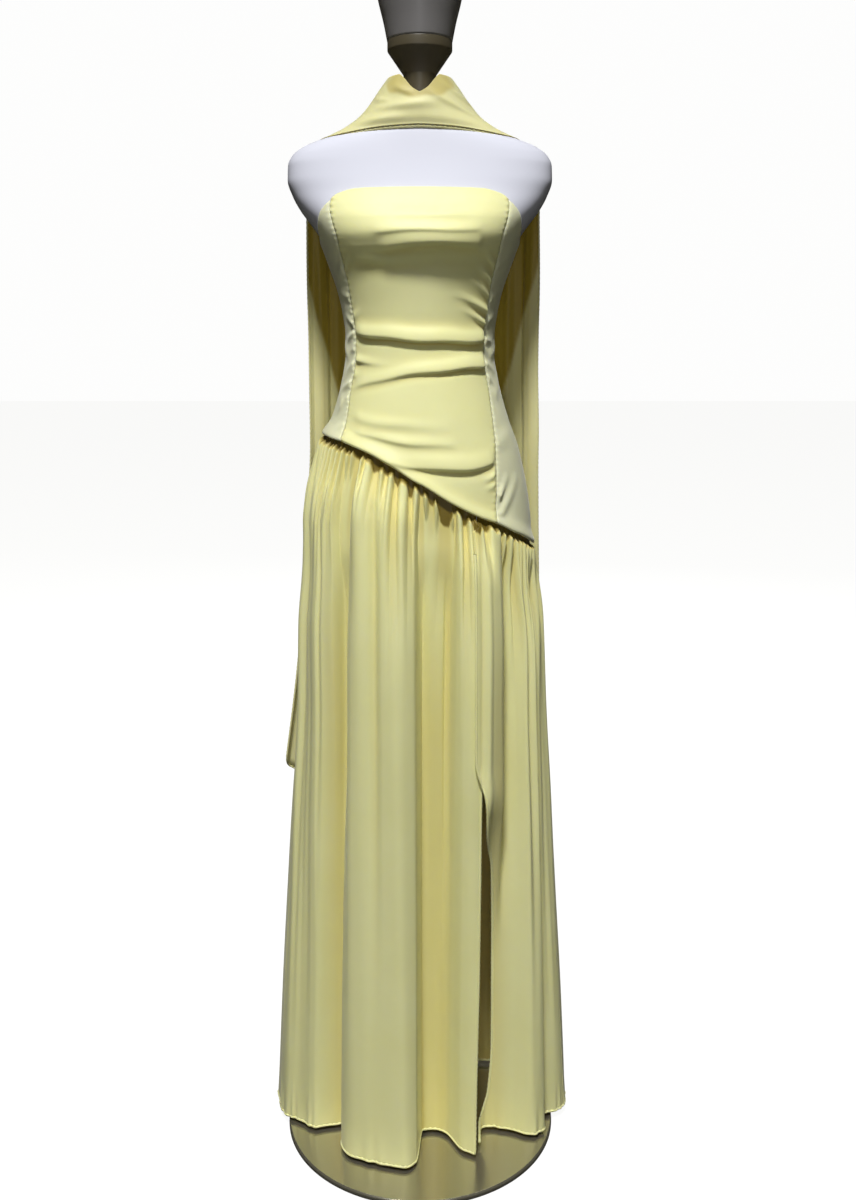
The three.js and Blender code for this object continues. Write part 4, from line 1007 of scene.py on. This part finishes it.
# A painted shadow of the cap along the top of the wrap's front.
cap_shade_from = 1474 + 11 * (deg / 42) ** 2 + 1.5 * np.sin(deg / 5)
cap_shade = smooth(-3, 4, z - cap_shade_from) * smooth(75, 45, np.abs(deg))
scarf_neck = cloth_piece(
    "scarf_neck_wrap", neck, scarf_crepe_painted_shade, "scarf_neck", CAP_SHADE * cap_shade,
    round_about=True, inside=NECK_INSIDE_PAINTED_SHADE,
)
roll = on_section(scarf_section(z[-1]), deg[0], z[-1] - ROLL_BELOW, -drawn_in[-1] - ROLL_INSIDE)
neck_roll = rolled_hem(
    "scarf_neck_roll", np.vstack([roll, roll[:2]]), scarf_crepe_painted_shade, "scarf_neck",
    ROLL_RADIUS,
)

# The scarf's two ends, which hang free behind the shoulders in soft upright folds. Each starts at
# the lower edge of the stretch round the neck and has a narrow rolled hem round its free edges.
# Each row is how far down the end it is, and the angles of its outer and its inner edge there.
TAIL_ROWS = {
    -1: [(0, 94, 172), (0.03, 122, 168), (0.13, 124.5, 167), (0.33, 125.7, 166), (0.45, 125.5, 165),
         (0.61, 122.8, 164), (0.85, 121.5, 163), (1, 119.5, 162)],
    1: [(0, 94, 172), (0.03, 117, 167), (0.13, 119.8, 166), (0.33, 121.2, 165), (0.45, 119.8, 164),
        (0.61, 121.2, 163), (0.85, 126, 162), (1, 130, 162)],
}
TAIL_FOLDS, TAIL_FOLD_DEPTH = 3, 5
FINE_FOLDS, FINE_FOLD_DEPTH = 8, 0.9
FOLD_SHADE = 0.6
END_HEM_FROM, END_HEM_RADIUS = 6, 1.4


def hanging_end(name, node, side, low_outer, low_inner, phase):
    down = (np.linspace(0, 1, 120) ** 1.7)[:, None]
    across = np.linspace(0, 1, 80)[None, :]
    if side < 0:
        across = across[:, ::-1]
    rows = np.array(TAIL_ROWS[side])
    outer_edge = smooth_curve(rows[:, 0], rows[:, 1])(down)
    inner_edge = smooth_curve(rows[:, 0], rows[:, 2])(down)
    deg = mix(outer_edge, inner_edge, across)
    start = mix(rows[0, 1], rows[0, 2], across)
    z = mix(scarf_low(start) - EDGE_ROOM, mix(low_outer, low_inner, np.sqrt(across)), down)
    wave = 1 + np.sin(2 * np.pi * TAIL_FOLDS * across + phase)
    finer = FINE_FOLD_DEPTH * np.sin(2 * np.pi * FINE_FOLDS * across + 3 * phase + 2 * down)
    out = (TAIL_FOLD_DEPTH * wave + finer) * smooth(0.02, 0.25, down)
    points = on_section(scarf_section(z), side * deg, z, out)
    # Painted shade in the end's folds, and a painted shadow of the form on its inner side above a
    # slanting line.
    shade_from = 1048 + 3.9 * (np.abs(points[..., 0]) - 118)
    piece = cloth_piece(
        name, points, scarf_crepe_painted_shade, node,
        FOLD_SHADE * sunk_in_folds(points, 9, 5.0), inside=smooth(-12, 12, z - shade_from).ravel(),
    )
    middle = middle_of(points)[END_HEM_FROM:]
    edges = np.vstack([middle[:, 0], middle[-1], middle[::-1, -1]])
    hem = rolled_hem(f"{name}_hem", edges, scarf_crepe_painted_shade, node, END_HEM_RADIUS)


hanging_end("scarf_left_end", "scarf_tail_left", -1, 514, 448, 0.6)
hanging_end("scarf_right_end", "scarf_tail_right", 1, 490, 460, 2.2)

# The plain pale floor. It is as white as the studio behind it, and throws no light of its own on
# the cloth or the steel.
FLOOR_REACH = 30
floor_mesh = bpy.data.meshes.new("floor")
floor_mesh.from_pydata(
    [(x * FLOOR_REACH, y * FLOOR_REACH, 0) for x, y in ((-1, -1), (1, -1), (1, 1), (-1, 1))], [],
    [(0, 1, 2, 3)],
)
floor = bpy.data.objects.new("floor", floor_mesh)
bpy.context.scene.collection.objects.link(floor)
floor_material, _, _ = new_material(
    "pale_floor", Base_Color=(0.12, 0.12, 0.12, 1), Roughness=1.0, Specular_IOR_Level=0.0,
    Emission_Color=(1, 1, 0.99, 1), Emission_Strength=0.94,
)
floor_mesh.materials.append(floor_material)
floor.visible_diffuse = False
floor.visible_glossy = False

# Soft studio light: a key from high in front, a weak fill, a light behind that leaves no glint on
# the plate, and a room that is bright above and dark below, which leaves the undersides of the
# folds in shade.


def soft_light(name, place, aim, size, watts):
    lamp = bpy.data.lights.new(name, "AREA")
    lamp.shape, lamp.size, lamp.energy = "DISK", size, watts
    made = bpy.data.objects.new(name, lamp)
    made.location = place
    made.rotation_euler = (Vector(aim) - Vector(place)).to_track_quat("-Z", "Y").to_euler()
    bpy.context.scene.collection.objects.link(made)
    return made


soft_light("key", (-0.4, -3.4, 6.7), (0, 0, 0.9), 0.95, 512)
soft_light("fill", (0.0, -2.6, 0.9), (0, 0, 0.6), 0.5, 9)
back_light = soft_light("back", (0.6, 3.6, 2.6), (0, 0, 0.9), 1.4, 80)
back_light.visible_glossy = False

world = bpy.data.worlds.new("studio")
world.use_nodes = True
bpy.context.scene.world = world
tree = world.node_tree
tree.nodes.clear()
way = place_node(tree, "ShaderNodeTexCoord").outputs["Generated"]
height = place_node(tree, "ShaderNodeSeparateXYZ", (), {0: way}).outputs["Z"]
ramp = place_node(
    tree, "ShaderNodeMapRange",
    {"From Min": -0.25, "From Max": 0.5, "To Min": 0.02, "To Max": 0.06}, {"Value": height},
)
room = place_node(
    tree, "ShaderNodeBackground", {"Color": (1, 0.96, 0.74, 1)},
    {"Strength": ramp.outputs["Result"]},
)
seen = place_node(
    tree, "ShaderNodeBackground", {"Color": (0.985, 0.985, 0.98, 1), "Strength": 1.0}
)
ray = place_node(tree, "ShaderNodeLightPath").outputs["Is Camera Ray"]
both = place_node(
    tree, "ShaderNodeMixShader", (),
    {0: ray, 1: room.outputs["Background"], 2: seen.outputs["Background"]},
)
place_node(tree, "ShaderNodeOutputWorld", (), {"Surface": both.outputs["Shader"]})

# The camera stands at the photograph's height and distance and looks a little down. Its frame is
# shifted a little, as the photograph's framing needs.
lens = bpy.data.cameras.new("camera")
lens.lens, lens.sensor_width, lens.shift_y = 35.4, 36, -0.12
camera = bpy.data.objects.new("camera", lens)
camera.location = (0.0113, -1.674, 1.123)
camera.rotation_euler = (np.radians(85.3), 0, 0)
bpy.context.scene.collection.objects.link(camera)
bpy.context.scene.camera = camera
bpy.context.scene.view_settings.view_transform = "Standard"
